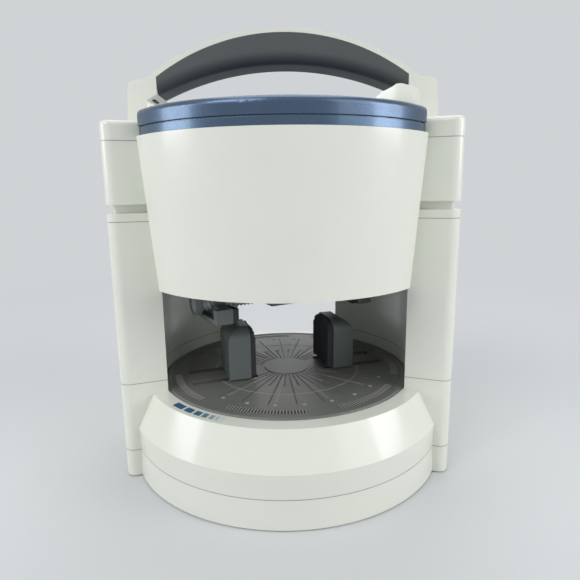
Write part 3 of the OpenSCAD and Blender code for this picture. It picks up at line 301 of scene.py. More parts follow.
    def _color(self, tree: bpy.types.NodeTree, shader: bpy.types.Node, place: bpy.types.NodeSocket,
               fine: bpy.types.NodeSocket, soft: bpy.types.Node | None) -> None:
        """Drifts the colour in clouds, lets the grain tint it and lightens the edges, partly as
        scuffing and partly as painted highlight.

        Args:
            tree: The material's node tree.
            shader: The surface shader.
            place: Socket with the object's coordinates.
            fine: Socket with the grain.
            soft: Node with the softened normal, if the finish has one.
        """
        clouds = self._noise(tree, place, self.cloud, CLOUD_OCTAVES)
        strong = self.grain in (Grain.FLAKE, Grain.BRUSHED)
        amount = self._node(tree, "ShaderNodeMath", operation="MULTIPLY_ADD")
        amount.inputs[1].default_value = self.strong_tint if strong else self.tint
        tree.links.new(fine, amount.inputs[0])
        tree.links.new(clouds, amount.inputs[2])
        drift = self._mix(tree, amount.outputs[0], self.shade)
        self._socket(drift.inputs, "A_Color").default_value = (*self.base, 1)
        if not soft:
            tree.links.new(self._socket(drift.outputs, "Result_Color"), shader.inputs["Base Color"])
            return
        flat = self._node(tree, "ShaderNodeNewGeometry")
        dot = self._node(tree, "ShaderNodeVectorMath", operation="DOT_PRODUCT")
        tree.links.new(flat.outputs["Normal"], dot.inputs[0])
        tree.links.new(soft.outputs["Normal"], dot.inputs[1])
        # edges are lightened where the two normals part: partly scuffing, partly a painted highlight
        edge = self._node(tree, "ShaderNodeMapRange")
        edge.inputs["From Min"].default_value = EDGE_STARTS
        edge.inputs["From Max"].default_value = EDGE_FULL
        edge.inputs["To Max"].default_value = self.wear_and_highlight
        tree.links.new(dot.outputs["Value"], edge.inputs["Value"])
        light = tuple(min(1.0, channel * WEAR_AND_HIGHLIGHT_GAIN + WEAR_AND_HIGHLIGHT_LIFT) for channel in self.base)
        worn_and_highlit = self._mix(tree, edge.outputs["Result"], light)
        tree.links.new(self._socket(drift.outputs, "Result_Color"),
                       self._socket(worn_and_highlit.inputs, "A_Color"))
        tree.links.new(self._socket(worn_and_highlit.outputs, "Result_Color"), shader.inputs["Base Color"])

    def _roughness(self, tree: bpy.types.NodeTree, shader: bpy.types.Node,
                   place: bpy.types.NodeSocket, fine: bpy.types.NodeSocket) -> None:
        """Varies the roughness with handling marks and the grain.

        Args:
            tree: The material's node tree.
            shader: The surface shader.
            place: Socket with the object's coordinates.
            fine: Socket with the grain.
        """
        smears = self._noise(tree, place, self.smear, SMEAR_OCTAVES, WIPED)
        both = self._node(tree, "ShaderNodeMath", operation="ADD")
        tree.links.new(smears, both.inputs[0])
        tree.links.new(fine, both.inputs[1])
        span = self._node(tree, "ShaderNodeMapRange")
        span.inputs["From Max"].default_value = 2.0
        span.inputs["To Min"].default_value = max(SMOOTHEST, self.rough - self.spread)
        span.inputs["To Max"].default_value = min(1.0, self.rough + self.spread)
        tree.links.new(both.outputs[0], span.inputs["Value"])
        tree.links.new(span.outputs["Result"], shader.inputs["Roughness"])


WHITE = Finish("gloss_white_moulding", linear(237, 238, 229), linear(228, 231, 220),
               rough=0.22, coat=0.25, ripple=0.03, cell=3.0, edge=0)
SEAM = Finish("seam_shadow", linear(158, 159, 150), linear(138, 139, 130), Grain.FLOATED,
              rough=0.6, edge=0)
BLUE = Finish("blue_metallic_lid", linear(90, 110, 136), linear(64, 82, 106), Grain.FLAKE,
              rough=0.3, metallic=0.85, coat=0.4, ripple=0.05, cell=0.2, edge=0.5, wear_and_highlight=0.1)
BAND_BLUE = Finish("blue_metallic_band", linear(92, 114, 138), linear(66, 86, 110), Grain.FLAKE,
                   rough=0.28, metallic=0.85, coat=0.4, ripple=0.05, cell=0.2, edge=0.3, wear_and_highlight=0.1)
TABLE_GREY = Finish("turntable_grey", linear(118, 119, 115), linear(104, 106, 103), Grain.STIPPLE,
                    rough=0.5, ripple=0.12, cell=0.5, edge=0.3, wear_and_highlight=0.3)
# the raised ticks, bumps, groove lines and web are painted lighter than the face: a painted
# highlight on the raised details
TABLE_HIGHLIGHT = Finish("turntable_painted_highlight", linear(168, 168, 162), linear(150, 151, 146),
                     Grain.STIPPLE, rough=0.5, ripple=0.08, cell=0.5, edge=0)
JAW_GREY = Finish("jaw_grey", linear(116, 123, 122), linear(102, 109, 109), Grain.STIPPLE,
                  rough=0.45, ripple=0.12, cell=0.5, edge=0.9, wear_and_highlight=0.2)
GRIP_GREY = Finish("grip_grey", linear(84, 90, 90), linear(72, 78, 78), Grain.STIPPLE,
                   rough=0.55, ripple=0.2, cell=0.6, edge=0.8, wear_and_highlight=0.15)
DARK_GREY = Finish("floor_dark_grey", linear(74, 77, 78), linear(62, 65, 66), Grain.STIPPLE,
                   rough=0.5, ripple=0.1, cell=0.7, edge=0.4)
RUBBER = Finish("black_rubber", linear(36, 37, 38), linear(26, 27, 28), Grain.STIPPLE,
                rough=0.7, ripple=0.25, cell=0.4, edge=0.4, wear_and_highlight=0.2, specular=0.3)
STEEL = Finish("drawn_steel", linear(190, 192, 196), linear(160, 162, 168), Grain.BRUSHED,
               rough=0.3, metallic=1.0, ripple=0.1, cell=0.5, edge=0.2, wear_and_highlight=0.3)
THREAD = Finish("rolled_thread_steel", linear(212, 213, 214), linear(190, 191, 194), Grain.BRUSHED,
                rough=0.5, metallic=0.6, ripple=0.08, cell=0.5, edge=0)
NYLON = Finish("natural_nylon", linear(226, 222, 205), linear(210, 205, 186), Grain.FLOATED,
               rough=0.45, ripple=0.05, cell=1.5, edge=0.15)
BOARD = Finish("board_lacquer", linear(38, 96, 62), linear(28, 78, 50), Grain.FLOATED,
               rough=0.35, ripple=0.05, cell=1.0, edge=0.1)

# the printed bars' blues, from the deepest to the palest
PRINT_BLUES = tuple(
    Finish(f"print_blue_{step}", linear(*blue), linear(*blue), Grain.FLOATED,
           rough=0.4, ripple=0.05, edge=0.02)
    for step, blue in enumerate([(47, 92, 124), (52, 98, 130), (64, 108, 138), (92, 130, 154),
                                 (138, 162, 178), (176, 188, 198), (200, 206, 210)]))

# ---------------------------------------------------------------- mesh tools


def piece(name: str, points: Sequence[Sequence[float]], faces: Iterable[Sequence[int]],
          finish: Finish, body: str, smooth: bool = False) -> bpy.types.Object:
    """Makes an object from points in millimetres and lets it ride on a body.

    Args:
        name: Name of the piece.
        points: Corners in millimetres, in the shared frame at rest.
        faces: Indices of each face's corners.
        finish: Its finish.
        body: The body that it moves with.
        smooth: Whether its faces are shaded smooth.

    Returns:
        The object.
    """
    mesh = bpy.data.meshes.new(name)
    mesh.from_pydata([tuple(value * MM for value in point) for point in points], [],
                     [tuple(face) for face in faces])
    work = bmesh.new()
    work.from_mesh(mesh)
    bmesh.ops.recalc_face_normals(work, faces=work.faces)
    work.to_mesh(mesh)
    work.free()
    for face in mesh.polygons:
        face.use_smooth = smooth
    mesh.materials.append(finish.make())
    made = bpy.data.objects.new(name, mesh)
    bpy.context.scene.collection.objects.link(made)
    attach(made, body)
    log.info("built %s", name)
    return made


@dataclass
class Solid:
    """A growing list of points and faces, from which a piece is made."""

    points: list[Point] = field(default_factory=list)
    faces: list[tuple[int, ...]] = field(default_factory=list)

    def add(self, points: Iterable[Sequence[float]], faces: Iterable[Sequence[int]]) -> None:
        """Adds points with the faces between them.

        Args:
            points: Points in millimetres.
            faces: Indices of each face's corners, counted from the first of these points.
        """
        start = len(self.points)
        self.points.extend(tuple(point) for point in points)
        self.faces.extend(tuple(start + index for index in face) for face in faces)

    def slab(self, outline: Sequence[Pair], low: float, high: float, soft: float = 0.0) -> None:
        """Adds an upright slab on an outline, with its upper edge drawn in where it is soft.

        Args:
            outline: Corners of the plan, in millimetres.
            low: Height of the plain end.
            high: Height of the end whose edge is drawn in.
            soft: How far that edge is drawn in, negative where the slab hangs down.
        """
        # the drawn edge's height as a share of its width, and the most that a corner may move in
        chamfer, most = 0.6, 0.45
        count = len(outline)
        middle = (sum(p[0] for p in outline) / count, sum(p[1] for p in outline) / count)

        def drawn(point: Pair) -> Pair:
            """Moves a corner towards the middle.

            Args:
                point: The corner.

            Returns:
                The moved corner.
            """
            dx, dy = middle[0] - point[0], middle[1] - point[1]
            share = min(most, soft / max(math.hypot(dx, dy), 1e-6))
            return point[0] + dx * share, point[1] + dy * share

        rings = [[(x, y, low) for x, y in outline], [(*drawn(point), high) for point in outline]]
        if soft:
            rings.insert(1, [(x, y, high - soft * chamfer) for x, y in outline])
        self.add([point for ring in rings for point in ring], skin(len(rings), count))


def skin(rings: int, sides: int) -> list[tuple[int, ...]]:
    """Lists the faces of a body lofted over rings of points, closed at both ends.

    Args:
        rings: Number of rings.
        sides: Points in each ring.

    Returns:
        Indices of each face's corners.
    """
    faces: list[tuple[int, ...]] = []
    for low in range(0, (rings - 1) * sides, sides):
        for here in range(sides):
            there = (here + 1) % sides
            faces.append((low + here, low + there, low + sides + there, low + sides + here))
    return faces + [tuple(range(sides)), tuple(range((rings - 1) * sides, rings * sides))]


def polar(radius: float, degrees: float) -> Pair:
    """Returns the plan point at a radius and an angle from +X."""
    return radius * math.cos(math.radians(degrees)), radius * math.sin(math.radians(degrees))


def disc(middle: Pair, radius: float, sides: int) -> list[Pair]:
    """Returns the outline of a disc round a plan point."""
    rim = [polar(radius, 360 * k / sides) for k in range(sides)]
    return [(middle[0] + x, middle[1] + y) for x, y in rim]


def tube(path: Sequence[Vector], radius: float,
         sides: int) -> tuple[list[Vector], list[tuple[int, ...]]]:
    """Sweeps a round section along a path.

    Args:
        path: Points of the path, in millimetres.
        radius: Radius of the tube.
        sides: Corners of its section.

    Returns:
        Its points and faces.
    """
    points: list[Vector] = []
    for i, spot in enumerate(path):
        ahead = (path[min(i + 1, len(path) - 1)] - path[max(i - 1, 0)]).normalized()
        aside = ahead.cross(Vector((0, 0, 1)))
        aside = aside.normalized() if aside.length > 1e-6 else Vector((1, 0, 0))
        above = aside.cross(ahead)
        for k in range(sides):
            turn = math.tau * k / sides
            points.append(spot + (aside * math.cos(turn) + above * math.sin(turn)) * radius)
    return points, skin(len(path), sides)


def outer_loop(node: str, height: float) -> list[Vector]:
    """Finds the outermost outline of a node at a height.

    Args:
        node: Name of the node.
        height: Height of the cut in millimetres.

    Returns:
        The outline's points in millimetres, counterclockwise.
    """
    work = bmesh.new()
    work.from_mesh(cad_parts[node].data)
    bmesh.ops.remove_doubles(work, verts=work.verts, dist=1e-6)
    cut = bmesh.ops.bisect_plane(work, geom=[*work.verts, *work.edges, *work.faces], dist=1e-7,
                                 plane_co=(0, 0, height * MM), plane_no=(0, 0, 1),
                                 clear_outer=True, clear_inner=True)["geom_cut"]
    ties: dict[bmesh.types.BMVert, list[bmesh.types.BMVert]] = {}
    for item in cut:
        if isinstance(item, bmesh.types.BMEdge):
            first, second = item.verts
            ties.setdefault(first, []).append(second)
            ties.setdefault(second, []).append(first)
    best: list[Vector] = []
    largest = 0.0
    left = dict.fromkeys(ties)
    while left:
        ahead = next(iter(left))
        loop = []
        while ahead is not None:
            del left[ahead]
            loop.append(ahead)
            ahead = next((near for near in ties[ahead] if near in left), None)
        points = [vert.co.xy / MM for vert in loop]
        area = sum(a.cross(b) for a, b in zip(points, points[1:] + points[:1])) / 2
        if abs(area) > largest:
            largest = abs(area)
            best = points if area > 0 else points[::-1]
    work.free()
    return best


def seam(name: str, node: str, height: float, body: str) -> None:
    """Lays a thin shadow line round a node, where it meets the next moulding.

    Args:
        name: Name of the piece.
        node: Node whose outline the line follows.
        height: Height of the outline in millimetres.
        body: The body that it moves with.
    """
    width, proud, deep, shortest = 0.4, 0.03, 0.3, 0.02
    loop = outer_loop(node, height)
    loop = [spot for spot, last in zip(loop, loop[-1:] + loop[:-1])
            if (spot - last).length > shortest]
    low, high = (Vector(corner).xy / MM for corner in CAD_BOX)
    line = Solid()
    count = len(loop)
    points: list[Point] = []
    for i, spot in enumerate(loop):
        ahead = (loop[(i + 1) % count] - loop[i - 1]).normalized()
        out = Vector((ahead.y, -ahead.x))
        face, back = spot + out * proud, spot - out * deep
        face = Vector((min(max(face.x, low.x), high.x), min(max(face.y, low.y), high.y)))
        points += [(*face, height - width / 2), (*face, height + width / 2),
                   (*back, height + width / 2), (*back, height - width / 2)]
    faces = []
    for i in range(count):
        here, there = 4 * i, 4 * ((i + 1) % count)
        faces += [(here + k, here + (k + 1) % 4, there + (k + 1) % 4, there + k) for k in range(4)]
    line.add(points, faces)
    piece(name, line.points, line.faces, SEAM, body)


def dress(finish: Finish, *nodes: str) -> None:
    """Gives carried-over nodes a finish.

    Args:
        finish: The finish.
        nodes: Names of the nodes.
    """
    for name in nodes:
        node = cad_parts[name]
        node.data.materials.clear()
        node.data.materials.append(finish.make())
        log.info("dressed %s with %s", name, finish.name)


# ---------------------------------------------------------------- sub-assemblies
# Lengths are in millimetres and angles in degrees. A name ends in _z for a height above the table,
# _h for a height above the face that carries the detail, _r for a radius and _w for a width.


class Assembly:
    """A sub-assembly: its solids come with the frame, and it adds what only the looks need."""

    def build(self) -> None:
        """Builds nothing, where the solids already show all of it."""

    def dress(self) -> None:
        """Gives its solids their finishes."""
        raise NotImplementedError


@dataclass
class Base(Assembly):
    """Round base with its pan, bevel and the printed marks on the ring round the turntable.

    A mark is given by its middle and its width, both in degrees.
    """

    ring_z: float = 54.2
    mark_inner: float = 87.5
    mark_outer: float = 92.2
    mark_slant: float = 0.4
    mark_h: float = 0.06
    mark_sunk: float = 0.02
    mark_steps: int = 4
    pan_z: float = 18.3
    marks: tuple[Pair, ...] = (
        (-134.7, 5.6), (-128.8, 4.0), (-124.2, 3.0), (-120.8, 2.2), (-117.8, 1.7), (-115.5, 1.1),
        (-113.4, 0.8))

    def build(self) -> None:
        """Builds the row of printed bars that fades along the ring, and lays the pan's seam."""
        for number, ((middle, width), blue) in enumerate(zip(self.marks, PRINT_BLUES), start=1):
            spread = [width * i / self.mark_steps - width / 2 for i in range(self.mark_steps + 1)]
            inner = [polar(self.mark_inner, middle + turn) for turn in spread]
            outer = [polar(self.mark_outer, middle + self.mark_slant - turn) for turn in spread]
            bar = Solid()
            bar.slab(inner + outer, self.ring_z - self.mark_sunk, self.ring_z + self.mark_h)
            piece(f"ring_mark_{number}", bar.points, bar.faces, blue, "base")
        seam("pan_seam", "base_pan", self.pan_z, "base")

    def dress(self) -> None:
        """Dresses the base and what is in it."""
        dress(WHITE, "base_pan", "base_shell")
        dress(RUBBER, "rubber_feet")
        dress(DARK_GREY, "cord_inlet")
        dress(STEEL, "base_screws", "gear_plate", "base_motor")
        dress(NYLON, "motor_pinion", "double_gear", "table_bearing")


@dataclass
class Columns(Assembly):
    """The two hollow columns that guide the head, with their collars."""

    boot_z: float = 62.2
    collar_z: float = 161.6

    def build(self) -> None:
        """Lays the seams where the columns meet the base and their collars."""
        for side in ("left", "right"):
            seam(f"boot_seam_front_{side}", f"column_front_{side}", self.boot_z, "base")
            seam(f"boot_seam_rear_{side}", f"column_rear_{side}", self.boot_z, "base")
            seam(f"collar_seam_{side}", f"collar_{side}", self.collar_z, "base")

    def dress(self) -> None:
        """Dresses the columns."""
        for side in ("left", "right"):
            dress(WHITE, f"column_front_{side}", f"column_rear_{side}",
                  f"collar_{side}", f"slide_tube_{side}")


@dataclass
class Turntable(Assembly):
    """Ribbed turntable: its fine ticks, bumps, groove lines and the raised web between the grooves.

    A kind of bump is given by its distance from the axis and its radius.
    """

    jar_line: float = 17.0
    face_z: float = 54.6
    sunk: float = 0.05
    tick_groups: int = 7
    tick_start: float = -116.7
    tick_span: float = 35.5
    ticks: int = 26
    tick_inner: float = 73.2
    tick_outer: float = 77.8
    tick_w: float = 0.6
    tick_h: float = 0.3
    tick_soft: float = 0.12
    bed_steps: int = 24
    bed_end: float = 0.7
    bed_in: float = 0.15
    bed_h: float = 0.04
    grooves: int = 24
    groove_edge: float = 0.42
    bumps: tuple[Pair, ...] = ((66.2, 1.3), (36.4, 0.8))
    bump_h: float = 0.35
    bump_soft: float = 0.4
    bump_sides: int = 16
    line_start: float = 24.0
    line_ends: Pair = (62.0, 35.0)
    line_in: float = 0.4
    line_w: float = 0.3
    line_h: float = 0.1
    web_r: float = 50.5
    web_sides: int = 24
    web_edge: float = 0.34
    web_w: float = 0.6
    web_h: float = 0.14
    web_soft: float = 0.1

    def build(self) -> None:
        """Builds the raised details of the face."""
        self._ticks()
        bumps, lines, web = Solid(), Solid(), Solid()
        for i in range(self.grooves):
            turn = self.jar_line + (i + 0.5) * 360 / self.grooves
            if self._off_jaws(turn, self.groove_edge):
                for radius, size in self.bumps:
                    bumps.slab(disc(polar(radius, turn), size, self.bump_sides),
                               self.face_z - self.sunk, self.face_z + self.bump_h, self.bump_soft)
                for side in (-1, 1):
                    outline = self._bar(turn, (self.line_start, self.line_ends[i % 2]),
                                        (side * self.line_in, side * (self.line_in + self.line_w)))
                    lines.slab(outline, self.face_z - self.sunk, self.face_z + self.line_h)
        self._part("groove_bumps", bumps, smooth=True)
        self._part("groove_lines", lines)
        low, high = self.web_r - self.web_w / 2, self.web_r + self.web_w / 2
        for i in range(self.web_sides):
            start, end = (self.jar_line + 360 / self.web_sides * k for k in (i, i + 1))
            if self._off_jaws((start + end) / 2, self.web_edge):
                web.slab([polar(low, start), polar(high, start), polar(high, end), polar(low, end)],
                         self.face_z - self.sunk, self.face_z + self.web_h, self.web_soft)
        self._part("table_web", web)

    def _ticks(self) -> None:
        """Builds the groups of ticks near the rim, each on a dark bed that is painted shade in the
        gaps between the ticks.
        """
        ribs, bed = Solid(), Solid()
        aside = (-self.tick_w / 2, self.tick_w / 2)
        span = self.tick_span + 2 * self.bed_end
        for group in range(self.tick_groups):
            start = self.tick_start + group * 360 / self.tick_groups
            arc = [start - self.bed_end + span * i / self.bed_steps
                   for i in range(self.bed_steps + 1)]
            bed.slab([polar(self.tick_inner + self.bed_in, turn) for turn in arc]
                     + [polar(self.tick_outer - self.bed_in, turn) for turn in reversed(arc)],
                     self.face_z - self.sunk, self.face_z + self.bed_h)
            for i in range(self.ticks):
                outline = self._bar(start + self.tick_span * i / (self.ticks - 1),
                                    (self.tick_inner, self.tick_outer), aside)
                ribs.slab(outline, self.face_z - self.sunk, self.face_z + self.tick_h,
                          self.tick_soft)
        self._part("rim_ticks", ribs)
        # the dark bed is painted shade between the ticks, though it carries the black rubber finish
        piece("rim_tick_shade_beds", bed.points, bed.faces, RUBBER, "turntable")

    @staticmethod
    def _part(name: str, solid: Solid, smooth: bool = False) -> None:
        """Makes a raised piece that turns with the table, painted lighter than the face as a painted
        highlight.
        """
        piece(name, solid.points, solid.faces, TABLE_HIGHLIGHT, "turntable", smooth=smooth)

    def _off_jaws(self, degrees: float, edge: float) -> bool:
        """Tells whether a direction keeps clear of the jaws' line."""
        return abs(math.sin(math.radians(degrees - self.jar_line))) > edge

    @staticmethod
    def _bar(degrees: float, reach: Pair, aside: Pair) -> list[Pair]:
        """Lists the corners of a bar that lies along a radius.

        Args:
            degrees: Direction of the radius.
            reach: Distances of its ends from the axis.
            aside: Distances of its sides from the radius, to the left.

        Returns:
            The four corners of the plan.
        """
        ahead = Vector(polar(1, degrees))
        left = Vector((-ahead.y, ahead.x))
        (near, far), (first, last) = reach, aside
        return [tuple(ahead * along + left * off)
                for along, off in ((near, first), (far, first), (far, last), (near, last))]

    def dress(self) -> None:
        """Dresses the turntable and its drive."""
        dress(TABLE_GREY, "turntable_disc")
        dress(DARK_GREY, "jaw_carrier")
        dress(NYLON, "drive_gear", "rack_pinion")
        dress(STEEL, "carrier_screws", "jar_rack_left", "jar_rack_right")
        dress(JAW_GREY, "jar_jaw_left", "jar_jaw_right")
        dress(RUBBER, "jar_pad_left", "jar_pad_right")


@dataclass
class LidClamp(Assembly):
    """Left and right hand lead screw with its gear, and the jaws that it moves."""

    line: float = 30.0
    axis_z: float = 108.5
    half_length: float = 66.5
    crest_r: float = 4.7
    root_r: float = 4.0
    lead: float = 8.0
    starts: int = 3
    plain: float = 3.5
    plain_end: float = 4.0
    steps: int = 8
    flank_rise: float = 6.0
    flank_lift: float = 2.2
    teeth: int = 14
    gear_t: float = 6.0
    first_tooth: float = 180.0
    sides: int = 32
    flank: tuple[Pair, ...] = ((5.95, 6.46), (6.6, 6.45), (7.0, 5.61), (7.4, 4.2), (7.8, 2.46))

    def build(self) -> None:
        """Builds the threaded screw that stands for the plain solid."""
        screw = Solid()
        step = self.lead / self.starts / self.steps
        count = int(2 * self.half_length / step)
        points: list[Point] = []
        for i in range(count + 1):
            along = -self.half_length + 2 * self.half_length * i / count
            for k in range(self.sides):
                turn = math.tau * k / self.sides
                radius = self._radius(along, turn)
                points.append(self._place(along, radius * math.cos(turn), radius * math.sin(turn)))
        screw.add(points, skin(count + 1, self.sides))
        self._gear(screw)
        made = piece("threaded_lid_screw", screw.points, screw.faces, THREAD, "lid_screw")
        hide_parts("lid_screw")

    def _radius(self, along: float, turn: float) -> float:
        """Finds the screw's radius at a point of its surface.

        Args:
            along: Distance from the screw's middle.
            turn: Direction round the screw, in radians.

        Returns:
            The radius, which dips once for each start in a turn.
        """
        reach = abs(along)
        if reach < self.plain or reach > self.half_length - self.plain_end:
            return self.crest_r
        hand = 1 if along > 0 else -1
        phase = (reach / self.lead * self.starts - hand * turn * self.starts / math.tau) % 1.0
        share = min(1.0, max(0.0, self.flank_lift - abs(phase - 0.5) * self.flank_rise))
        return self.crest_r - (self.crest_r - self.root_r) * share

    def _place(self, along: float, aside: float, above: float) -> Point:
        """Turns a point on the screw's own axes into the shared frame."""
        x, y = polar(1, self.line)
        return along * x - aside * y, along * y + aside * x, self.axis_z + above

    def _gear(self, to: Solid) -> None:
        """Adds the gear on the screw's middle, with the same teeth as its solid.

        Args:
            to: The solid that grows by the gear.
        """
        outline: list[Pair] = []
        for tooth in range(self.teeth):
            middle = self.first_tooth + tooth * 360 / self.teeth
            outline += [(radius, middle - half) for radius, half in self.flank]
            outline += [(radius, middle + half) for radius, half in reversed(self.flank)]
        points: list[Point] = []
        for along in (-self.gear_t / 2, self.gear_t / 2):
            for radius, degrees in outline:
                # the solid's outline lies across the screw with its own X pointing down
                x, y = polar(radius, degrees)
                points.append(self._place(along, y, -x))
        to.add(points, skin(2, len(outline)))

    def dress(self) -> None:
        """Dresses the clamp."""
        dress(JAW_GREY, "lid_jaw_left", "lid_jaw_right", "screw_housing")
        dress(DARK_GREY, "head_floor")
        dress(RUBBER, "lid_pad_left", "lid_pad_right")
        dress(STEEL, "head_motor", "head_screws")
        dress(NYLON, "idler_gear", "head_motor_pinion")


@dataclass
class Head(Assembly):
    """Sliding head with its shell, side blocks, band and lid.

    A chip is given by its middle, width, depth and height, and a can by its middle and radius.
    """

    cap_z: float = 207.2
    board_low: float = 197.8
    chips: tuple[tuple[float, float, float, float, float], ...] = (
        (36.0, -44.0, 10.0, 8.0, 7.0), (36.0, -28.0, 9.0, 6.0, 1.8), (50.0, -24.0, 5.0, 9.0, 1.6),
        (60.0, -30.0, 8.0, 5.0, 5.0))
    cans: tuple[Point, ...] = ((50.0, -38.0, 3.6), (60.0, -22.0, 2.6))
    can_h: float = 9.0
    can_sides: int = 24
    part_sunk: float = 0.1
    part_soft: float = 0.3

    def build(self) -> None:
        """Lays the seams under the side blocks' caps and fills the board's underside."""
        for side in ("left", "right"):
            seam(f"cap_seam_{side}", f"block_cap_{side}", self.cap_z, "head")
        chips = Solid()
        for x, y, width, depth, height in self.chips:
            outline = [(x + i * width / 2, y + j * depth / 2)
                       for i, j in ((-1, -1), (1, -1), (1, 1), (-1, 1))]
            chips.slab(outline, self.board_low + self.part_sunk,
                       self.board_low - height, -self.part_soft)
        piece("board_chips", chips.points, chips.faces, RUBBER, "head")
        cans = Solid()
        for x, y, radius in self.cans:
            cans.slab(disc((x, y), radius, self.can_sides), self.board_low + self.part_sunk,
                      self.board_low - self.can_h, -self.part_soft)
        piece("board_cans", cans.points, cans.faces, STEEL, "head")

    def dress(self) -> None:
        """Dresses the head."""
        dress(WHITE, "head_shell", "back_cover", "side_block_left", "side_block_right",
              "block_cap_left", "block_cap_right")
        dress(BAND_BLUE, "blue_band")
        dress(BLUE, "lid")
        dress(DARK_GREY, "band_ends")
        dress(BOARD, "control_board")
        dress(RUBBER, "start_switch")


class CarryHandle(Assembly):
    """Arched handle with its grip."""

    def dress(self) -> None:
        """Dresses the handle."""
        dress(WHITE, "handle")
        dress(GRIP_GREY, "handle_grip")


@dataclass
class StartButton(Assembly):
    """Wedge-shaped button on a coil spring."""

    spot: Pair = (62.5, -47.0)
    low: float = 199.4
    high: float = 221.67
    coil_r: float = 7.5
    wire_r: float = 0.45
    coils: float = 7.0
    travel: float = 3.0
    ground: float = 0.08
    steps: int = 24
    sides: int = 8

    def build(self) -> None:
        """Builds the coil spring that stands for the sleeve."""
        path: list[Vector] = []
        first, climb = self.low + self.wire_r, self.high - self.low - 2 * self.wire_r
        count = int(self.coils * self.steps)
        for i in range(count + 1):
            share = i / count
            rise = min(1.0, max(0.0, (share - self.ground) / (1 - 2 * self.ground)))
            turn = math.tau * self.coils * share
            path.append(Vector((self.spot[0] + self.coil_r * math.cos(turn),
                                self.spot[1] + self.coil_r * math.sin(turn), first + climb * rise)))
        points, faces = tube(path, self.wire_r, self.sides)
        made = piece("button_coil", points, faces, STEEL, "head", smooth=True)
        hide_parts("button_spring")
        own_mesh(made)

    def dress(self) -> None:
        """Dresses the button."""
        dress(WHITE, "start_button")


# ---------------------------------------------------------------- studio


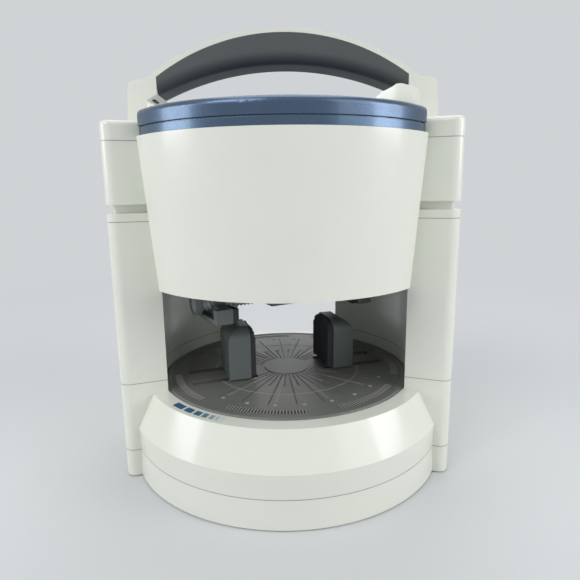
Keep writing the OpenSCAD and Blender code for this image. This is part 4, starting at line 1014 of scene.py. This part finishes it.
@dataclass
class Studio:
    """Camera, lamps, floor and backdrop.

    The camera's place and its picture are in millimetres, degrees and pixels, and its near clip,
    the sheet and the lamps in metres. A lamp is given by its name, place, aimed height, side and
    power in watts.
    """

    pixels: int = 580
    focal_px: float = 500.0
    eye: Point = (3.145, -340.68, 179.86)
    pitch: float = 11.53
    roll: float = -0.71
    paper: Color = linear(208, 211, 213)
    paper_rough: float = 0.9
    paper_specular: float = 0.1
    lit_near: float = 0.25
    lit_far: float = 0.9
    glow: float = 0.52
    sensor: float = 36
    near_clip: float = 0.01
    half_width: float = 4.0
    front: float = -3.0
    back: float = 1.6
    bend: float = 1.2
    bend_steps: int = 10
    top: float = 4.0
    lamps: tuple[tuple[str, Point, float, float, float], ...] = (
        ("key", (-0.9, -1.1, 1.4), 0.12, 1.0, 10.5),
        ("fill", (1.3, -0.9, 0.9), 0.12, 1.2, 7),
        ("top", (0.0, 0.3, 1.9), 0.1, 1.4, 9.5),
        ("back", (0.2, 1.4, 0.9), 0.1, 1.2, 6),
        ("left_strip", (-1.3, -0.35, 0.5), 0.15, 0.6, 5),
        ("right_strip", (1.3, -0.35, 0.5), 0.15, 0.6, 5))

    def camera(self) -> None:
        """Places the camera where the photograph was taken from."""
        data = bpy.data.cameras.new("camera")
        data.sensor_width = self.sensor
        data.sensor_fit = "HORIZONTAL"
        data.lens = self.sensor * self.focal_px / self.pixels
        data.clip_start = self.near_clip
        camera = bpy.data.objects.new("camera", data)
        turn = Euler((math.radians(90 - self.pitch), 0, 0)).to_matrix().to_4x4()
        camera.matrix_world = (Matrix.Translation(Vector(self.eye) * MM) @ turn
                               @ Matrix.Rotation(math.radians(self.roll), 4, "Z"))
        bpy.context.scene.collection.objects.link(camera)
        bpy.context.scene.camera = camera

    def _paper(self) -> bpy.types.Material:
        """Builds the paper of floor and backdrop: lit near the object, plain in colour further out.

        Returns:
            The material.
        """
        material = bpy.data.materials.new("studio_paper")
        material.use_nodes = True
        tree = material.node_tree
        shader = tree.nodes["Principled BSDF"]
        shader.inputs["Base Color"].default_value = (*self.paper, 1)
        shader.inputs["Roughness"].default_value = self.paper_rough
        shader.inputs["Specular IOR Level"].default_value = self.paper_specular
        glow = tree.nodes.new("ShaderNodeEmission")
        glow.inputs["Color"].default_value = (*self.paper, 1)
        glow.inputs["Strength"].default_value = 1.0
        place = tree.nodes.new("ShaderNodeTexCoord")
        reach = tree.nodes.new("ShaderNodeVectorMath")
        reach.operation = "LENGTH"
        tree.links.new(place.outputs["Object"], reach.inputs[0])
        far = tree.nodes.new("ShaderNodeMapRange")
        far.interpolation_type = "SMOOTHSTEP"
        far.inputs["From Min"].default_value = self.lit_near
        far.inputs["From Max"].default_value = self.lit_far
        tree.links.new(reach.outputs["Value"], far.inputs["Value"])
        share = tree.nodes.new("ShaderNodeMath")
        share.operation = "MULTIPLY"
        tree.links.new(far.outputs["Result"], share.inputs[0])
        tree.links.new(self._seen(tree), share.inputs[1])
        mix = tree.nodes.new("ShaderNodeMixShader")
        tree.links.new(share.outputs[0], mix.inputs[0])
        tree.links.new(shader.outputs["BSDF"], mix.inputs[1])
        tree.links.new(glow.outputs["Emission"], mix.inputs[2])
        tree.links.new(mix.outputs[0], tree.nodes["Material Output"].inputs["Surface"])
        return material

    @staticmethod
    def _seen(tree: bpy.types.NodeTree) -> bpy.types.NodeSocket:
        """Adds the nodes that tell a look from plain light.

        Args:
            tree: The node tree of a material or of the world.

        Returns:
            The socket that is 1 where the camera or a reflection looks, and 0 for plain light.
        """
        ray = tree.nodes.new("ShaderNodeLightPath")
        seen = ray.outputs["Is Camera Ray"]
        for kind in ("Is Glossy Ray", "Is Transmission Ray"):
            node = tree.nodes.new("ShaderNodeMath")
            node.operation = "MAXIMUM"
            tree.links.new(seen, node.inputs[0])
            tree.links.new(ray.outputs[kind], node.inputs[1])
            seen = node.outputs[0]
        return seen

    def floor(self) -> None:
        """Builds floor and backdrop as one curved sheet."""
        profile = [(self.front, 0.0), (self.back, 0.0)]
        for i in range(1, self.bend_steps + 1):
            turn = math.radians(90 * i / self.bend_steps)
            profile.append((self.back + self.bend * math.sin(turn),
                            self.bend * (1 - math.cos(turn))))
        profile.append((self.back + self.bend, self.top))
        mesh = bpy.data.meshes.new("backdrop")
        points = [(x, y, z) for y, z in profile for x in (-self.half_width, self.half_width)]
        faces = [(2 * i, 2 * i + 1, 2 * i + 3, 2 * i + 2) for i in range(len(profile) - 1)]
        mesh.from_pydata(points, [], faces)
        for face in mesh.polygons:
            face.use_smooth = True
        mesh.materials.append(self._paper())
        sheet = bpy.data.objects.new("backdrop", mesh)
        bpy.context.scene.collection.objects.link(sheet)

    def _lamp(self, name: str, spot: Point, aim: Point, size: float, power: float) -> None:
        """Adds a soft square lamp.

        Args:
            name: Name of the lamp.
            spot: Its place in metres.
            aim: The point that it faces.
            size: Length of its side in metres.
            power: Its power in watts.
        """
        data = bpy.data.lights.new(name, "AREA")
        data.size = size
        data.energy = power
        lamp = bpy.data.objects.new(name, data)
        lamp.location = spot
        lamp.rotation_euler = (Vector(aim) - Vector(spot)).to_track_quat("-Z", "Y").to_euler()
        bpy.context.scene.collection.objects.link(lamp)

    def light(self) -> None:
        """Adds the lamps and the world's even light."""
        for name, spot, height, size, power in self.lamps:
            self._lamp(name, spot, (0, 0, height), size, power)
        world = bpy.data.worlds.new("studio_world")
        bpy.context.scene.world = world
        world.use_nodes = True
        tree = world.node_tree
        glow = tree.nodes["Background"]
        glow.inputs["Color"].default_value = (*self.paper, 1)
        glow.inputs["Strength"].default_value = self.glow
        shown = tree.nodes.new("ShaderNodeBackground")
        shown.inputs["Color"].default_value = (*self.paper, 1)
        mix = tree.nodes.new("ShaderNodeMixShader")
        tree.links.new(self._seen(tree), mix.inputs[0])
        tree.links.new(glow.outputs[0], mix.inputs[1])
        tree.links.new(shown.outputs[0], mix.inputs[2])
        tree.links.new(mix.outputs[0], tree.nodes["World Output"].inputs["Surface"])
        bpy.context.scene.view_settings.view_transform = "Standard"

    def build(self) -> None:
        """Builds the whole studio."""
        self.camera()
        self.floor()
        self.light()
        log.info("built the studio")


def main() -> None:
    """Builds and dresses the sub-assemblies in order."""
    logging.basicConfig(level=logging.INFO, format="%(message)s")
    Studio().build()
    parts: tuple[Assembly, ...] = (Base(), Columns(), Turntable(), LidClamp(), Head(),
                                   StartButton(), CarryHandle())
    for part in parts:
        part.build()
        part.dress()


if __name__ == "__main__":
    main()
